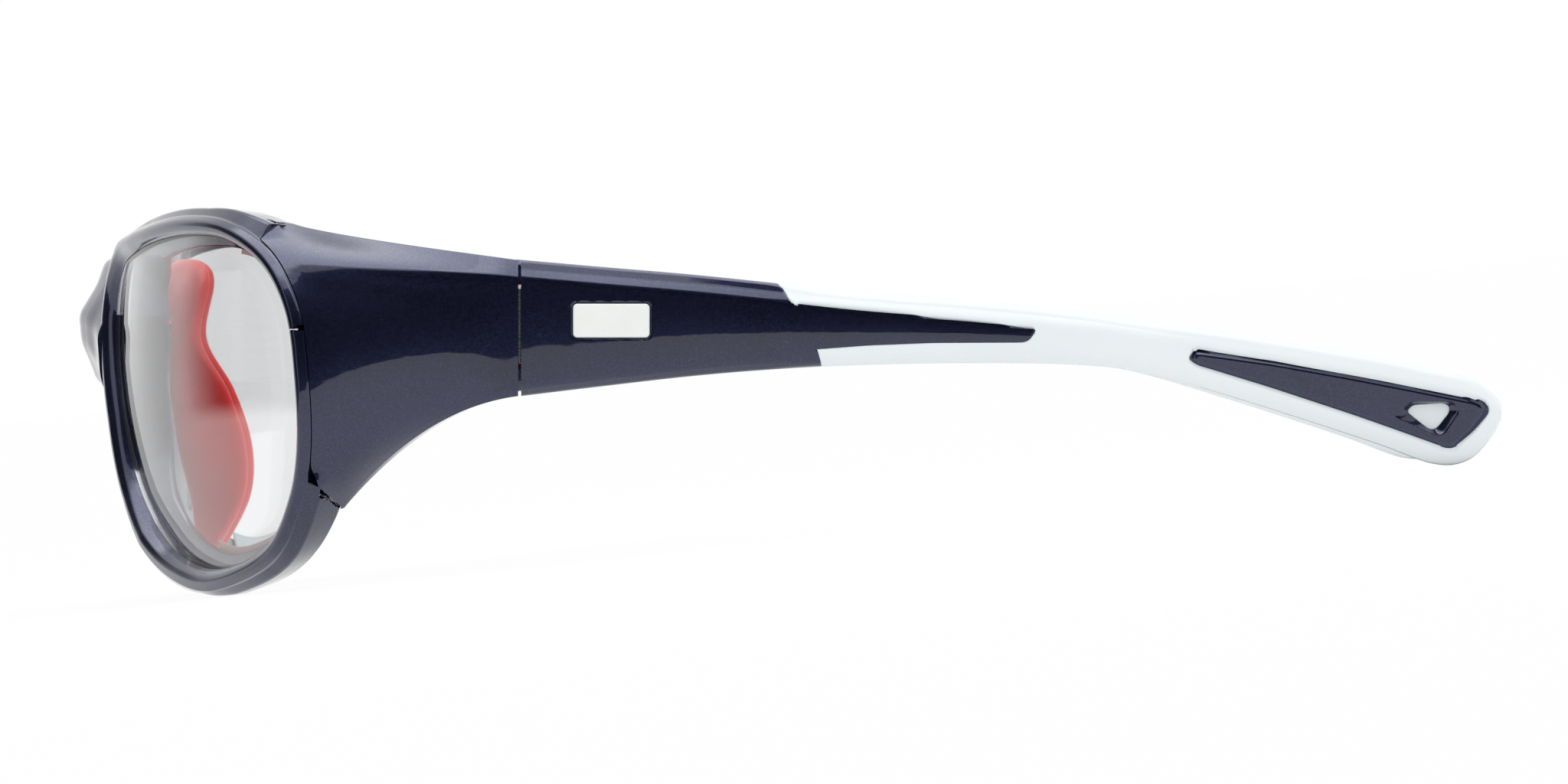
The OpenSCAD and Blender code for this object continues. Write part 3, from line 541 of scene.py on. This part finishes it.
# Share of the length, lowest, highest, outer and inner face against the seam's.
TEMPLE_ROWS = np.array([
    (0, -0.4, 15.3, 0, 0), (0.081, 0.7, 14.5, 0.1, 0), (0.175, 1.9, 13.6, 0.2, 0.2),
    (0.261, 2.7, 12.6, 0.3, 0.5), (0.353, 3.2, 11.5, 0.3, 0.7), (0.459, 3.4, 10.6, 0.1, 0.6),
    (0.566, 3.2, 9.4, -0.4, 0), (0.644, 2.1, 8.1, -0.9, -0.5), (0.748, -1.3, 6.4, -1.8, -1.5),
    (0.868, -5.7, 4.1, -3.1, -2.8), (0.931, -8.2, 2.6, -3.9, -3.4), (0.966, -7.8, 1.7, -4.3, -3.6),
    (0.99, -5.2, 0.1, -4.6, -3.4), (1, -3.1, -1.3, -4.7, -3.3)])
# Where the core shows, seen from the side: share of the length and height.
HINGE_PART = np.array([
    (-0.1, -20), (0.307, -20), (0.3064, 3), (0.301, 5), (0.281, 10.1), (0.274, 10.5),
    (0.2665, 12.1), (0.261, 12.5), (0.259, 30), (-0.1, 30)])
TONGUE = np.array([
    (0.27, 7.5), (0.278, 10.35), (0.4, 9), (0.522, 7.5), (0.5245, 7.1), (0.516, 5.75),
    (0.42, 5.7), (0.353, 5.4), (0.295, 4.9)])
TIP_PANEL = np.array([
    (0.685, 5.3), (0.7675, 4), (0.847, 2.4), (0.92, 0.8), (0.981, -0.6), (0.989, -1.6),
    (0.986, -2.8), (0.972, -4.8), (0.952, -6.8), (0.944, -6.8), (0.9, -5), (0.847, -2.9),
    (0.761, 0.3), (0.703, 2.3), (0.688, 2.8), (0.679, 3.7)])
# The strap slot and the sunk edge round it, in worn Y and Z.
SLOT_EDGE = np.array([
    (151.42, -2.83), (152.31, -1.5), (152.93, -0.97), (157.71, -1.03), (158.15, -1.24),
    (158.73, -2.04), (156.95, -4.69), (156.11, -4.96)])
SLOT = np.array([
    (152.6, -2.2), (153.28, -1.42), (156.82, -1.2), (157.5, -1.59), (157.5, -2.3),
    (156.11, -4.07), (155.49, -4.25), (154.95, -4.05)])
INLAY_LENGTH = 8.8
INLAY_HEIGHT = 3.9
INLAY_AT = 0.0918


def temple_y(share):
    """Worn Y at a share of the temple's length."""
    return SEAM_Y + SEAM_GAP / 2 + share * (TEMPLE_LENGTH - SEAM_GAP / 2)


def side_outline(shape, radius):
    """A shape seen from the side, in worn Y and Z, with its corners rounded."""
    points = np.stack([temple_y(shape[:, 0]), shape[:, 1]], 1)[None]
    return round_corners(points, radius, 6)[0]


def distance(y, z, outline):
    """Distance from points to a closed outline: negative inside it, by counting crossings."""
    best = np.full(y.shape, 1e9)
    inside = np.zeros(y.shape, bool)
    for (y0, z0), (y1, z1) in zip(outline, np.roll(outline, -1, 0)):
        wy, wz = y1 - y0, z1 - z0
        t = np.clip(((y - y0) * wy + (z - z0) * wz) / max(wy * wy + wz * wz, 1e-12), 0, 1)
        best = np.minimum(best, np.hypot(y - y0 - t * wy, z - z0 - t * wz))
        if z0 != z1:
            inside ^= ((z0 > z) != (z1 > z)) & (y < y0 + (z - z0) / (z1 - z0) * wy)
    return np.where(inside, -best, best)


def temple_sections(share, inset):
    """Closed sections at shares of the length, drawn in by inset: a crowned outer face, a bevel
    above it and rounded corners, crisp at the hinge and soft on the grip."""
    t = np.linspace(0, len(TEMPLE_ROWS) - 1, 3000)
    rows = through(TEMPLE_ROWS, np.interp(share, through(TEMPLE_ROWS, t, False)[:, 0], t), False)
    ease = np.clip(share / 0.35, 0, 1)
    low, top = rows[:, 1] + inset, rows[:, 2] - inset
    outer = OUTER_X + rows[:, 3] - inset
    inner = INNER_X + (OUTER_X - 4.4 - INNER_X) * ease + rows[:, 4] + inset
    high = top - low
    bevel, cut = np.minimum(BEVEL, 0.3 * high), np.minimum(0.24 * (outer - inner), 1.2)
    foot, curl = np.minimum(1, 0.2 * high), np.minimum(0.8, 0.2 * high)
    corners = np.stack([np.stack(q, 1) for q in (
        (outer - cut, low), (outer, low + foot), (outer, top - bevel), (outer - cut, top),
        (inner + 0.5, top), (inner, top - curl), (inner, low + curl), (inner + 0.5, low))], 1)
    soft = np.clip((share - 0.25) / 0.06, 0, 1)[:, None, None]
    radius = np.array([0.35, 0.4, 0.3, 0.35, 0.4, 0.4, 0.4, 0.4])[None, :, None] * (1 + 1.2 * soft)
    arcs = round_corners(corners, radius, 5).reshape(len(share), 8, 7, 2)
    # Points along the faces between the corners: many on the outer one, where the windows are.
    loop = []
    for k, fill in enumerate((2, 96, 8, 6, 4, 40, 4, 6)):
        s = np.linspace(0, 1, fill + 2)[None, 1:-1, None]
        loop += [arcs[:, k], arcs[:, k, -1:] * (1 - s) + arcs[:, (k + 1) % 8, :1] * s]
    loop = np.concatenate(loop, 1)
    x, z = loop[..., 0], loop[..., 1]
    middle = (low + top)[:, None] / 2
    reach = np.maximum(middle - (low + foot)[:, None], 0.3)
    # Towards the tip the outer face grows flat and leans so that it looks slightly down.
    tip = np.clip((share - 0.55) / 0.15, 0, 1)[:, None]
    crown = 0.25 * np.clip(1 - ((z - middle) / reach) ** 2, 0, 1) * (1 - 0.8 * tip)
    x = x + (crown + 0.12 * tip * (z - middle)) * (x > (0.6 * outer + 0.4 * inner)[:, None])
    return np.stack([x, np.broadcast_to(temple_y(share)[:, None], x.shape), z], -1)


def ramp(d, start, width):
    """0 before start, 1 after start + width, a smooth step between."""
    t = np.clip((d - start) / width, 0, 1)
    return t * t * (3 - 2 * t)


def near(*spans):
    """Shares of the temple's length, 0.13 mm apart in the given spans and 0.45 mm elsewhere."""
    fine = [np.arange(a, b, 0.13 / TEMPLE_LENGTH) for a, b in spans]
    coarse = np.arange(0, 1, 0.45 / TEMPLE_LENGTH)
    for a, b in spans:
        coarse = coarse[(coarse < a) | (coarse > b)]
    return np.unique(np.concatenate([coarse, *fine, [0, 0.9965, 0.9985, 1]]))


def bare(y, z, outer):
    """Distance to the parts of the surface where the core shows; the tongue is outside only."""
    d = np.minimum(distance(y, z, side_outline(HINGE_PART, 0.8)),
                   distance(y, z, side_outline(TIP_PANEL, 1.2)))
    tongue = distance(y, z, side_outline(TONGUE, 0.9))
    return np.minimum(d, np.where(outer, tongue, 9.0))


def rounded_bar(length, height, radius, sides=12):
    """A rounded rectangle round the origin, in two axes."""
    turn = np.linspace(0, math.pi / 2, sides)
    corner = radius * np.stack([np.cos(turn), np.sin(turn)], 1)
    corner += (length / 2 - radius, height / 2 - radius)
    quarter = corner[::-1] * (-1, 1)
    return np.concatenate([corner, quarter, -corner, -quarter])


share = near((0.045, 0.062), (0.122, 0.14), (0.255, 0.313), (0.512, 0.53), (0.672, 0.705), (0.9, 1))
full, sunk = temple_sections(share, 0.0), temple_sections(share, GRIP_THICK)
y, z = full[..., 1], full[..., 2]
outer_shift = np.interp(share, TEMPLE_ROWS[:, 0], TEMPLE_ROWS[:, 3])[:, None]
faces_out = full[..., 0] > OUTER_X - 2.6 + outer_shift
bare_distance = bare(y, z, faces_out)
arm_sunk = ramp(bare_distance, -0.05, 0.3)[..., None]
grip_sunk = 1 - ramp(bare_distance, -0.25, 0.3)[..., None]
arm = full * (1 - arm_sunk) + sunk * arm_sunk
panel = distance(y, z, side_outline(TIP_PANEL, 1.2))
slot_edge = distance(y, z, round_corners(SLOT_EDGE[None], 0.5, 5)[0])
slot_hole = distance(y, z, round_corners(SLOT[None], 0.5, 5)[0])
inlay_mid = np.array([temple_y(INLAY_AT), HINGE_Z + 0.85])
inlay_edge = distance(y, z, rounded_bar(INLAY_LENGTH, INLAY_HEIGHT, 0.5) + inlay_mid)
# The panel's bevelled border, the sunk edge of the slot and a fine groove round the inlay.
depth = 0.4 * ramp(panel, -1.0, 0.75) * (panel < 0.3) * (share > 0.6)[:, None]
depth += 0.75 * np.clip(-slot_edge / np.maximum(slot_hole - slot_edge, 0.3), 0, 1) ** 0.8
depth += 0.18 * ramp(-np.abs(inlay_edge), -0.22, 0.16)
sign = np.where(faces_out, -1.0, 1.0) * (share > 0.6)[:, None] - (share <= 0.6)[:, None] * faces_out
arm[..., 0] += sign * depth
grip = full * (1 - grip_sunk) + sunk * grip_sunk
grip = grip[share > 0.25]


def strap_slot():
    """A prism through the tip with the slot's rounded outline."""
    outline = round_corners(SLOT[None], 0.5, 6)[0]
    return np.stack([np.column_stack([np.full(len(outline), OUTER_X + x), outline])
                     for x in (-14.0, 4.0)])


def soft_white():
    """White thermoplastic rubber: satin, a touch of blue, with a fine moulded grain."""
    material, tree, shader = new_finish(
        "white_soft_rubber", Roughness=0.42, Subsurface_Weight=0.12, Subsurface_Scale=0.0015,
        IOR=1.5)
    place = add(tree, "TexCoord").outputs["Object"]
    tone = add(tree, "TexNoise", {"Scale": 60.0, "Detail": 4.0}, {"Vector": place})
    shade = add(tree, "ValToRGB", None, {"Fac": tone.outputs["Fac"]})
    shade.color_ramp.elements[0].color = linear("#E4ECF0")
    shade.color_ramp.elements[1].color = linear("#F0F5F6")
    tree.links.new(shade.outputs["Color"], shader.inputs["Base Color"])
    grain = add(tree, "TexNoise", {"Scale": 5000.0, "Detail": 2.0}, {"Vector": place})
    bump = add(tree, "Bump", {"Strength": 0.12, "Distance": 0.00002},
               {"Height": grain.outputs["Fac"]})
    tree.links.new(bump.outputs["Normal"], shader.inputs["Normal"])
    return material


white_rubber = soft_white()
for side in ("left", "right"):
    turn = (lambda g: g) if side == "left" else mirrored
    body = side + "_temple"
    core = build(side + "_temple_core", [shell(turn(arm))])
    combine(core, [shell(turn(g)) for g in (*hinge_room(1), strap_slot())])
    dress(core, pearl_navy, body, side + "_temple_arm")
    sleeve = build(side + "_temple_sleeve", [shell(turn(grip))])
    dress(sleeve, white_rubber, body, side + "_temple_grip")

# Inlays: small plain plates of white plastic, pressed into a pocket on each temple's outer face.
INLAY_DEEP = 0.68


def inlay_grid():
    """Rings of a rounded bar from its middle out, over a small edge radius and down the wall."""
    # Each ring: how far in from the outline, and how high over the temple's face.
    rings = [(1.7, 0.5), (1.2, 0.5), (0.6, 0.5), (0.25, 0.49), (0.13, 0.46), (0.05, 0.4),
             (0.0, 0.3), (0.0, 0.25), (0.0, -INLAY_DEEP), (1.7, -INLAY_DEEP)]
    loops = []
    for inward, high in rings:
        bar = rounded_bar(INLAY_LENGTH - 2 * inward, INLAY_HEIGHT - 2 * inward,
                          max(0.5 - inward, 0.1)) + inlay_mid
        loops.append(np.column_stack([np.full(len(bar), OUTER_X + high), bar]))
    return np.stack(loops)


def white_plastic_finish():
    """Injection-moulded white plastic with a soft shine and a faint cloud in its tone."""
    material, tree, shader = new_finish("white_plastic", Roughness=0.28, IOR=1.5)
    place = add(tree, "TexCoord").outputs["Object"]
    tone = add(tree, "TexNoise", {"Scale": 300.0, "Detail": 3.0}, {"Vector": place})
    shade = add(tree, "ValToRGB", None, {"Fac": tone.outputs["Fac"]})
    shade.color_ramp.elements[0].color = linear("#E9EDEA")
    shade.color_ramp.elements[1].color = linear("#F4F6F4")
    tree.links.new(shade.outputs["Color"], shader.inputs["Base Color"])
    grain = add(tree, "TexNoise", {"Scale": 3500.0, "Detail": 2.0}, {"Vector": place})
    bump = add(tree, "Bump", {"Strength": 0.08, "Distance": 0.00002},
               {"Height": grain.outputs["Fac"]})
    tree.links.new(bump.outputs["Normal"], shader.inputs["Normal"])
    return material


white_plastic = white_plastic_finish()
for side in ("left", "right"):
    grid = inlay_grid() if side == "left" else mirrored(inlay_grid())
    plate = build(side + "_inlay_plate", [shell(grid)])
    dress(plate, white_plastic, side + "_temple", side + "_inlay")

# Nose pad: one band of red translucent silicone over the nose, held in the bridge by two studs.
WING_THICK = 1.5
STUD_X, STUD_Y, STUD_Z, STUD_LENGTH, STUD_RADIUS = 2.6, 9.0, 8.6, 6.0, 1.1
# Front edge and back edge of the band, from the lower end of one wing to the middle.
NOSE_ROWS = np.array([
    ((14.8, 14, -18.9), (15.5, 15.8, -18.7)), ((13.6, 13.2, -13), (16.6, 18.9, -12.6)),
    ((11.6, 11.5, -6.5), (15.4, 19.2, -6.6)), ((9.8, 10.6, -0.4), (13.3, 17.1, 0)),
    ((8, 10.4, 5.2), (10.8, 13.7, 6.2)), ((6.4, 10.6, 8.2), (9, 14.6, 13)),
    ((3.8, 8.9, 7.6), (5.4, 13.4, 15.1)), ((0, 7.3, 6.8), (0, 11, 15.2))])


def nose_grid(rows):
    """The band's rounded section carried from one wing over the nose to the other."""
    path = np.concatenate([NOSE_ROWS, NOSE_ROWS[-2::-1] * np.array([-1, 1, 1])])
    t = np.linspace(0, len(path) - 1, rows)
    edges = through(path, t, False)
    middle = edges.mean(1)
    across = edges[:, 1] - edges[:, 0]
    off = unit(np.cross(np.gradient(middle, axis=0), across)) * WING_THICK / 2
    # The ends of the wings close in a rounded lip.
    close = np.clip(np.minimum(t, len(path) - 1 - t) / 0.16, 0, 1)
    close = np.sqrt(np.maximum(1 - (1 - close) ** 2, 0.01))[:, None, None]
    shape = np.array([(0, 0.45), (0.1, 1), (0.5, 1), (0.9, 1), (1, 0.45), (1, -0.45), (0.9, -1),
                      (0.5, -1), (0.1, -1), (0, -0.45)])
    loop = middle[:, None] + ((shape[:, :1] - 0.5) * across[:, None] * (0.86 + 0.14 * close)
                              + shape[:, 1:] * off[:, None] * close)
    return round_corners(loop, 0.7, 5)


def red_silicone_finish():
    """Translucent red silicone: light soaks in, the skin is satin with a faint moulded grain."""
    material, tree, shader = new_finish(
        "red_silicone", Roughness=0.3, IOR=1.41, Subsurface_Weight=0.55, Subsurface_Scale=0.003,
        Transmission_Weight=0.06)
    shader.inputs["Subsurface Radius"].default_value = (1.0, 0.25, 0.2)
    place = add(tree, "TexCoord").outputs["Object"]
    tone = add(tree, "TexNoise", {"Scale": 120.0, "Detail": 3.0}, {"Vector": place})
    shade = add(tree, "ValToRGB", None, {"Fac": tone.outputs["Fac"]})
    shade.color_ramp.elements[0].color = linear("#DA2A26")
    shade.color_ramp.elements[1].color = linear("#E83834")
    tree.links.new(shade.outputs["Color"], shader.inputs["Base Color"])
    grain = add(tree, "TexNoise", {"Scale": 2600.0, "Detail": 2.0}, {"Vector": place})
    bump = add(tree, "Bump", {"Strength": 0.15, "Distance": 0.00003},
               {"Height": grain.outputs["Fac"]})
    tree.links.new(bump.outputs["Normal"], shader.inputs["Normal"])
    return material


red_silicone = red_silicone_finish()
studs = [shell(rod(np.array([x, STUD_Y, STUD_Z]), (0, -1, 0), STUD_LENGTH, STUD_RADIUS))
         for x in (STUD_X, -STUD_X)]
nose_pad = build("nose_pad_band", [shell(nose_grid(180)), *studs])
dress(nose_pad, red_silicone, "front", "nose_pad")

# Side pads: milky silicone liners glued behind the temple half of each rim.
LINER_DEPTH = 1.4
LINER_FIRST, LINER_LAST = 14, 40
LINER_AT = ([14, 16, 18, 28, 31, 36, 40], [0.1, 0.3, 1, 1, 0.3, 0.3, 0.15])


def liner_grid():
    """A rounded lip carried along the rim's back, growing from nothing at its two ends."""
    i = np.arange(LINER_FIRST, LINER_LAST + 0.01, 0.2)
    t = LINER_DEPTH * np.interp(i, *LINER_AT)
    ease = np.clip(i - SEAM_TOP + 1, 0, 1) * np.clip(31 - i, 0, 1)
    wide = (full_wall(i) - 1.3) * (1 - ease) + (RING_WIDTH - 0.4) * ease
    start, thin = -rim_depth(i) - 0.08, -1.7 + 0 * i
    profile = np.stack([np.stack(q, 1) for q in (
        (wide - 0.2, start), (wide, start - 0.35 * t), (wide - 0.15, start - 0.75 * t),
        (wide - 0.5, start - t), (thin + 0.4, start - t), (thin + 0.1, start - 0.75 * t),
        (thin, start - 0.35 * t), (thin + 0.5, start))], 1)
    rounded = round_corners(profile, 0.4, 4)
    return off_rim(i[:, None], rounded[..., 0], rounded[..., 1])


def milky_silicone_finish():
    """Milky translucent silicone with a satin skin."""
    material, tree, shader = new_finish(
        "milky_silicone", Roughness=0.35, IOR=1.41, Subsurface_Weight=0.5,
        Subsurface_Scale=0.002, Transmission_Weight=0.15)
    place = add(tree, "TexCoord").outputs["Object"]
    tone = add(tree, "TexNoise", {"Scale": 150.0, "Detail": 3.0}, {"Vector": place})
    shade = add(tree, "ValToRGB", None, {"Fac": tone.outputs["Fac"]})
    shade.color_ramp.elements[0].color = linear("#D5DBDF")
    shade.color_ramp.elements[1].color = linear("#E3E8EA")
    tree.links.new(shade.outputs["Color"], shader.inputs["Base Color"])
    grain = add(tree, "TexNoise", {"Scale": 3000.0, "Detail": 2.0}, {"Vector": place})
    bump = add(tree, "Bump", {"Strength": 0.12, "Distance": 0.00002},
               {"Height": grain.outputs["Fac"]})
    tree.links.new(bump.outputs["Normal"], shader.inputs["Normal"])
    return material


milky_silicone = milky_silicone_finish()
for side in ("left", "right"):
    grid = liner_grid() if side == "left" else mirrored(liner_grid())
    liner = build(side + "_side_pad_lip", [shell(grid)])
    dress(liner, milky_silicone, "front", side + "_side_pad")

# Hinges and screws: turned and stamped stainless steel. The CAD nodes keep their meshes.
def stainless_finish():
    """Stainless steel with fine turning marks that vary its roughness."""
    material, tree, shader = new_finish(
        "stainless_steel", Base_Color=linear("#C4C6CB"), Metallic=1.0, Roughness=0.25)
    place = add(tree, "TexCoord").outputs["Object"]
    stretched = add(tree, "Mapping", {"Scale": (1.0, 1.0, 14.0)}, {"Vector": place})
    marks = add(tree, "TexNoise", {"Scale": 900.0, "Detail": 4.0},
                {"Vector": stretched.outputs["Vector"]})
    rough = add(tree, "MapRange", {"From Min": 0.3, "From Max": 0.7, "To Min": 0.18,
                                   "To Max": 0.38}, {"Value": marks.outputs["Fac"]})
    tree.links.new(rough.outputs["Result"], shader.inputs["Roughness"])
    bump = add(tree, "Bump", {"Strength": 0.1, "Distance": 0.00001},
               {"Height": marks.outputs["Fac"]})
    tree.links.new(bump.outputs["Normal"], shader.inputs["Normal"])
    return material


stainless = stainless_finish()
for node in ["endpiece_screws"] + [
        side + part for side in ("left", "right")
        for part in ("_hinge_front_leaf", "_hinge_temple_leaf", "_hinge_screw")]:
    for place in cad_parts[node].material_slots:
        place.material = stainless

# The table: a plain pale sheet. Seen by the camera it is nearly white, and keeps the shadow.
def table_top():
    """A flat sheet twelve metres across at the ground."""
    mesh = bpy.data.meshes.new("table_top")
    mesh.from_pydata([(-6, -6, 0), (6, -6, 0), (6, 6, 0), (-6, 6, 0)], [], [(0, 1, 2, 3)])
    sheet = bpy.data.objects.new("table_top", mesh)
    bpy.context.scene.collection.objects.link(sheet)
    material, tree, shader = new_finish("pale_table", Base_Color=(0.9, 0.9, 0.9, 1),
                                        Roughness=0.9)
    rays = add(tree, "LightPath")
    seen = add(tree, "Math", None, {0: rays.outputs["Is Camera Ray"],
                                    1: rays.outputs["Is Glossy Ray"]}, operation="MAXIMUM")
    seen = add(tree, "Math", None, {0: seen.outputs[0], 1: rays.outputs["Is Transmission Ray"]},
               operation="MAXIMUM")
    share = add(tree, "Math", {1: 0.93}, {0: seen.outputs[0]}, operation="MULTIPLY")
    glow = add(tree, "Emission", {"Color": (1, 1, 1, 1), "Strength": 1.0})
    mix = add(tree, "MixShader", None, {0: share.outputs[0], 1: shader.outputs["BSDF"],
                                        2: glow.outputs["Emission"]})
    tree.links.new(mix.outputs["Shader"], tree.nodes["Material Output"].inputs["Surface"])
    mesh.materials.append(material)


table_top()

# Light: a white room, a soft box overhead, and three cards that the camera doesn't see. A dark one
# on the wearer's left and one in front are painted dark reflections in the lacquer and the lens,
# and painted shade seen through the lens; a bright one overhead, glowing though it is no lamp, is a
# painted sheen.
def painted_dark_reflection_card(name, start, end, height, fade):
    """A card standing on the table from start to end (x, y), seen only in reflections and through
    clear surfaces as a painted dark reflection and painted shade; it fades to nothing over the
    given lengths at its start, its end, its top and its bottom."""
    (x0, y0), (x1, y1) = start, end
    length = math.hypot(x1 - x0, y1 - y0)
    mesh = bpy.data.meshes.new(name)
    mesh.from_pydata([(x0, y0, 0.001), (x1, y1, 0.001), (x1, y1, height), (x0, y0, height)], [],
                     [(0, 1, 2, 3)])
    corners = mesh.uv_layers.new(name="card").data
    for corner, uv in zip(corners, ((0, 0), (length, 0), (length, height), (0, height))):
        corner.uv = uv
    card = bpy.data.objects.new(name, mesh)
    bpy.context.scene.collection.objects.link(card)
    material, tree, shader = new_finish(name, Base_Color=(0.004, 0.004, 0.006, 1), Roughness=1.0)
    place = add(tree, "SeparateXYZ", None, {0: add(tree, "TexCoord").outputs["UV"]})
    edges = [add(tree, "MapRange", {"From Min": at, "From Max": at + way * wide},
                 {"Value": place.outputs[axis]}, interpolation_type="SMOOTHSTEP").outputs["Result"]
             for axis, at, way, wide in (("X", 0.0, 1, fade[0]), ("X", length, -1, fade[1]),
                                         ("Y", height, -1, fade[2]), ("Y", 0.0, 1, fade[3]))]
    dense = edges[0]
    for edge in edges[1:]:
        dense = add(tree, "Math", None, {0: dense, 1: edge}, operation="MULTIPLY").outputs[0]
    tree.links.new(dense, shader.inputs["Alpha"])
    mesh.materials.append(material)
    card.visible_camera = card.visible_diffuse = card.visible_shadow = False


# Painted dark reflections: these cards darken what the lacquer and the lens reflect and what shows
# through the lens.
painted_dark_reflection_card("side_card", (0.5, -0.8), (0.5, 0.8), 0.68, (0.05, 0.05, 0.04, 0.004))
painted_dark_reflection_card("front_card", (-0.5, -0.6), (0.3, -0.6), 0.42, (0.24, 0.05, 0.1, 0.02))


def painted_sheen_card():
    """A painted sheen: a glowing card, not a lamp, that stands for the soft box's underside as
    shiny surfaces see it; it fades towards its edges.
    """
    wide, near, far, high = 0.55, -1.0, 0.55, 0.9
    mesh = bpy.data.meshes.new("painted_sheen_card")
    mesh.from_pydata([(-wide, near, high), (wide, near, high), (wide, far, high),
                      (-wide, far, high)], [], [(0, 1, 2, 3)])
    corners = mesh.uv_layers.new(name="card").data
    for corner, uv in zip(corners, ((-1, -1), (1, -1), (1, 1), (-1, 1))):
        corner.uv = uv
    card = bpy.data.objects.new("painted_sheen_card", mesh)
    bpy.context.scene.collection.objects.link(card)
    material, tree, shader = new_finish("painted_sheen_card", Base_Color=(0, 0, 0, 1), Roughness=1.0)
    place = add(tree, "SeparateXYZ", None, {0: add(tree, "TexCoord").outputs["UV"]})
    level = None
    for axis in "XY":
        away = add(tree, "Math", None, {0: place.outputs[axis]}, operation="ABSOLUTE")
        edge = add(tree, "MapRange", {"From Min": 1.0, "From Max": 0.7},
                   {"Value": away.outputs[0]}, interpolation_type="SMOOTHSTEP").outputs["Result"]
        level = edge if level is None else add(
            tree, "Math", None, {0: level, 1: edge}, operation="MULTIPLY").outputs[0]
    glow = add(tree, "MapRange", {"To Min": 1.0, "To Max": 2.9}, {"Value": level})
    tree.links.new(glow.outputs["Result"], shader.inputs["Emission Strength"])
    shader.inputs["Emission Color"].default_value = (1, 1, 1, 1)
    mesh.materials.append(material)
    card.visible_camera = card.visible_diffuse = card.visible_shadow = False
    card.visible_transmission = False


# Painted sheen: a glowing card overhead that only shiny surfaces see.
painted_sheen_card()

room = bpy.data.worlds.new("white_room")
room.use_nodes = True
bpy.context.scene.world = room
rays = add(room.node_tree, "LightPath")
seen = add(room.node_tree, "Math", None, {0: rays.outputs["Is Camera Ray"],
                                          1: rays.outputs["Is Glossy Ray"]}, operation="MAXIMUM")
seen = add(room.node_tree, "Math", None, {0: seen.outputs[0],
                                          1: rays.outputs["Is Transmission Ray"]},
           operation="MAXIMUM")
level = add(room.node_tree, "MapRange", {"To Min": 0.98, "To Max": 1.0},
            {"Value": seen.outputs[0]})
background = room.node_tree.nodes["Background"]
background.inputs["Color"].default_value = (1, 1, 1, 1)
room.node_tree.links.new(level.outputs["Result"], background.inputs["Strength"])

box = bpy.data.lights.new("soft_box", "AREA")
box.shape, box.size, box.size_y, box.energy = "RECTANGLE", 0.9, 0.7, 1.3
lamp = bpy.data.objects.new("soft_box", box)
lamp.location = (0.25, 0.0, 0.9)
lamp.rotation_euler = Vector((0.25, 0.0, 0.88)).to_track_quat("Z", "Y").to_euler()
bpy.context.scene.collection.objects.link(lamp)

# Camera: far off on the wearer's left with a long lens, because the photograph shows next to no
# perspective. From about 865 mm on, a view from another side would stand beyond its own clipping
# distance and show nothing. It is rolled by the pitch, so that the goggles lie level as worn.
PICTURE_WIDTH = 181.25
LENS = 840.0
SENSOR_WIDTH = 36.0
# The eye stands forward of the aim and above it, where the near side hides most of the far side.
EYE_FORWARD, EYE_ABOVE = 49.0, 17.0
camera_data = bpy.data.cameras.new("camera")
camera_data.lens, camera_data.sensor_width = LENS, SENSOR_WIDTH
camera_data.clip_start, camera_data.clip_end = 0.5, 60.0
camera = bpy.data.objects.new("camera", camera_data)
bpy.context.scene.collection.objects.link(camera)
aim = np.array([45.0, 81.15, 0.0])
stands_off = PICTURE_WIDTH / 2 / (SENSOR_WIDTH / 2 / LENS)
stands_at = aim + np.array([stands_off, -EYE_FORWARD, EYE_ABOVE])
eye, target = (Vector(stand(p).tolist()) for p in (stands_at, aim))
look = (target - eye).normalized()
right = look.cross(Vector((0, math.sin(PITCH), math.cos(PITCH)))).normalized()
turned = Matrix((right, right.cross(look), -look)).transposed()
camera.matrix_world = Matrix.Translation(eye) @ turned.to_4x4()
bpy.context.scene.camera = camera
bpy.context.scene.view_settings.view_transform = "Standard"
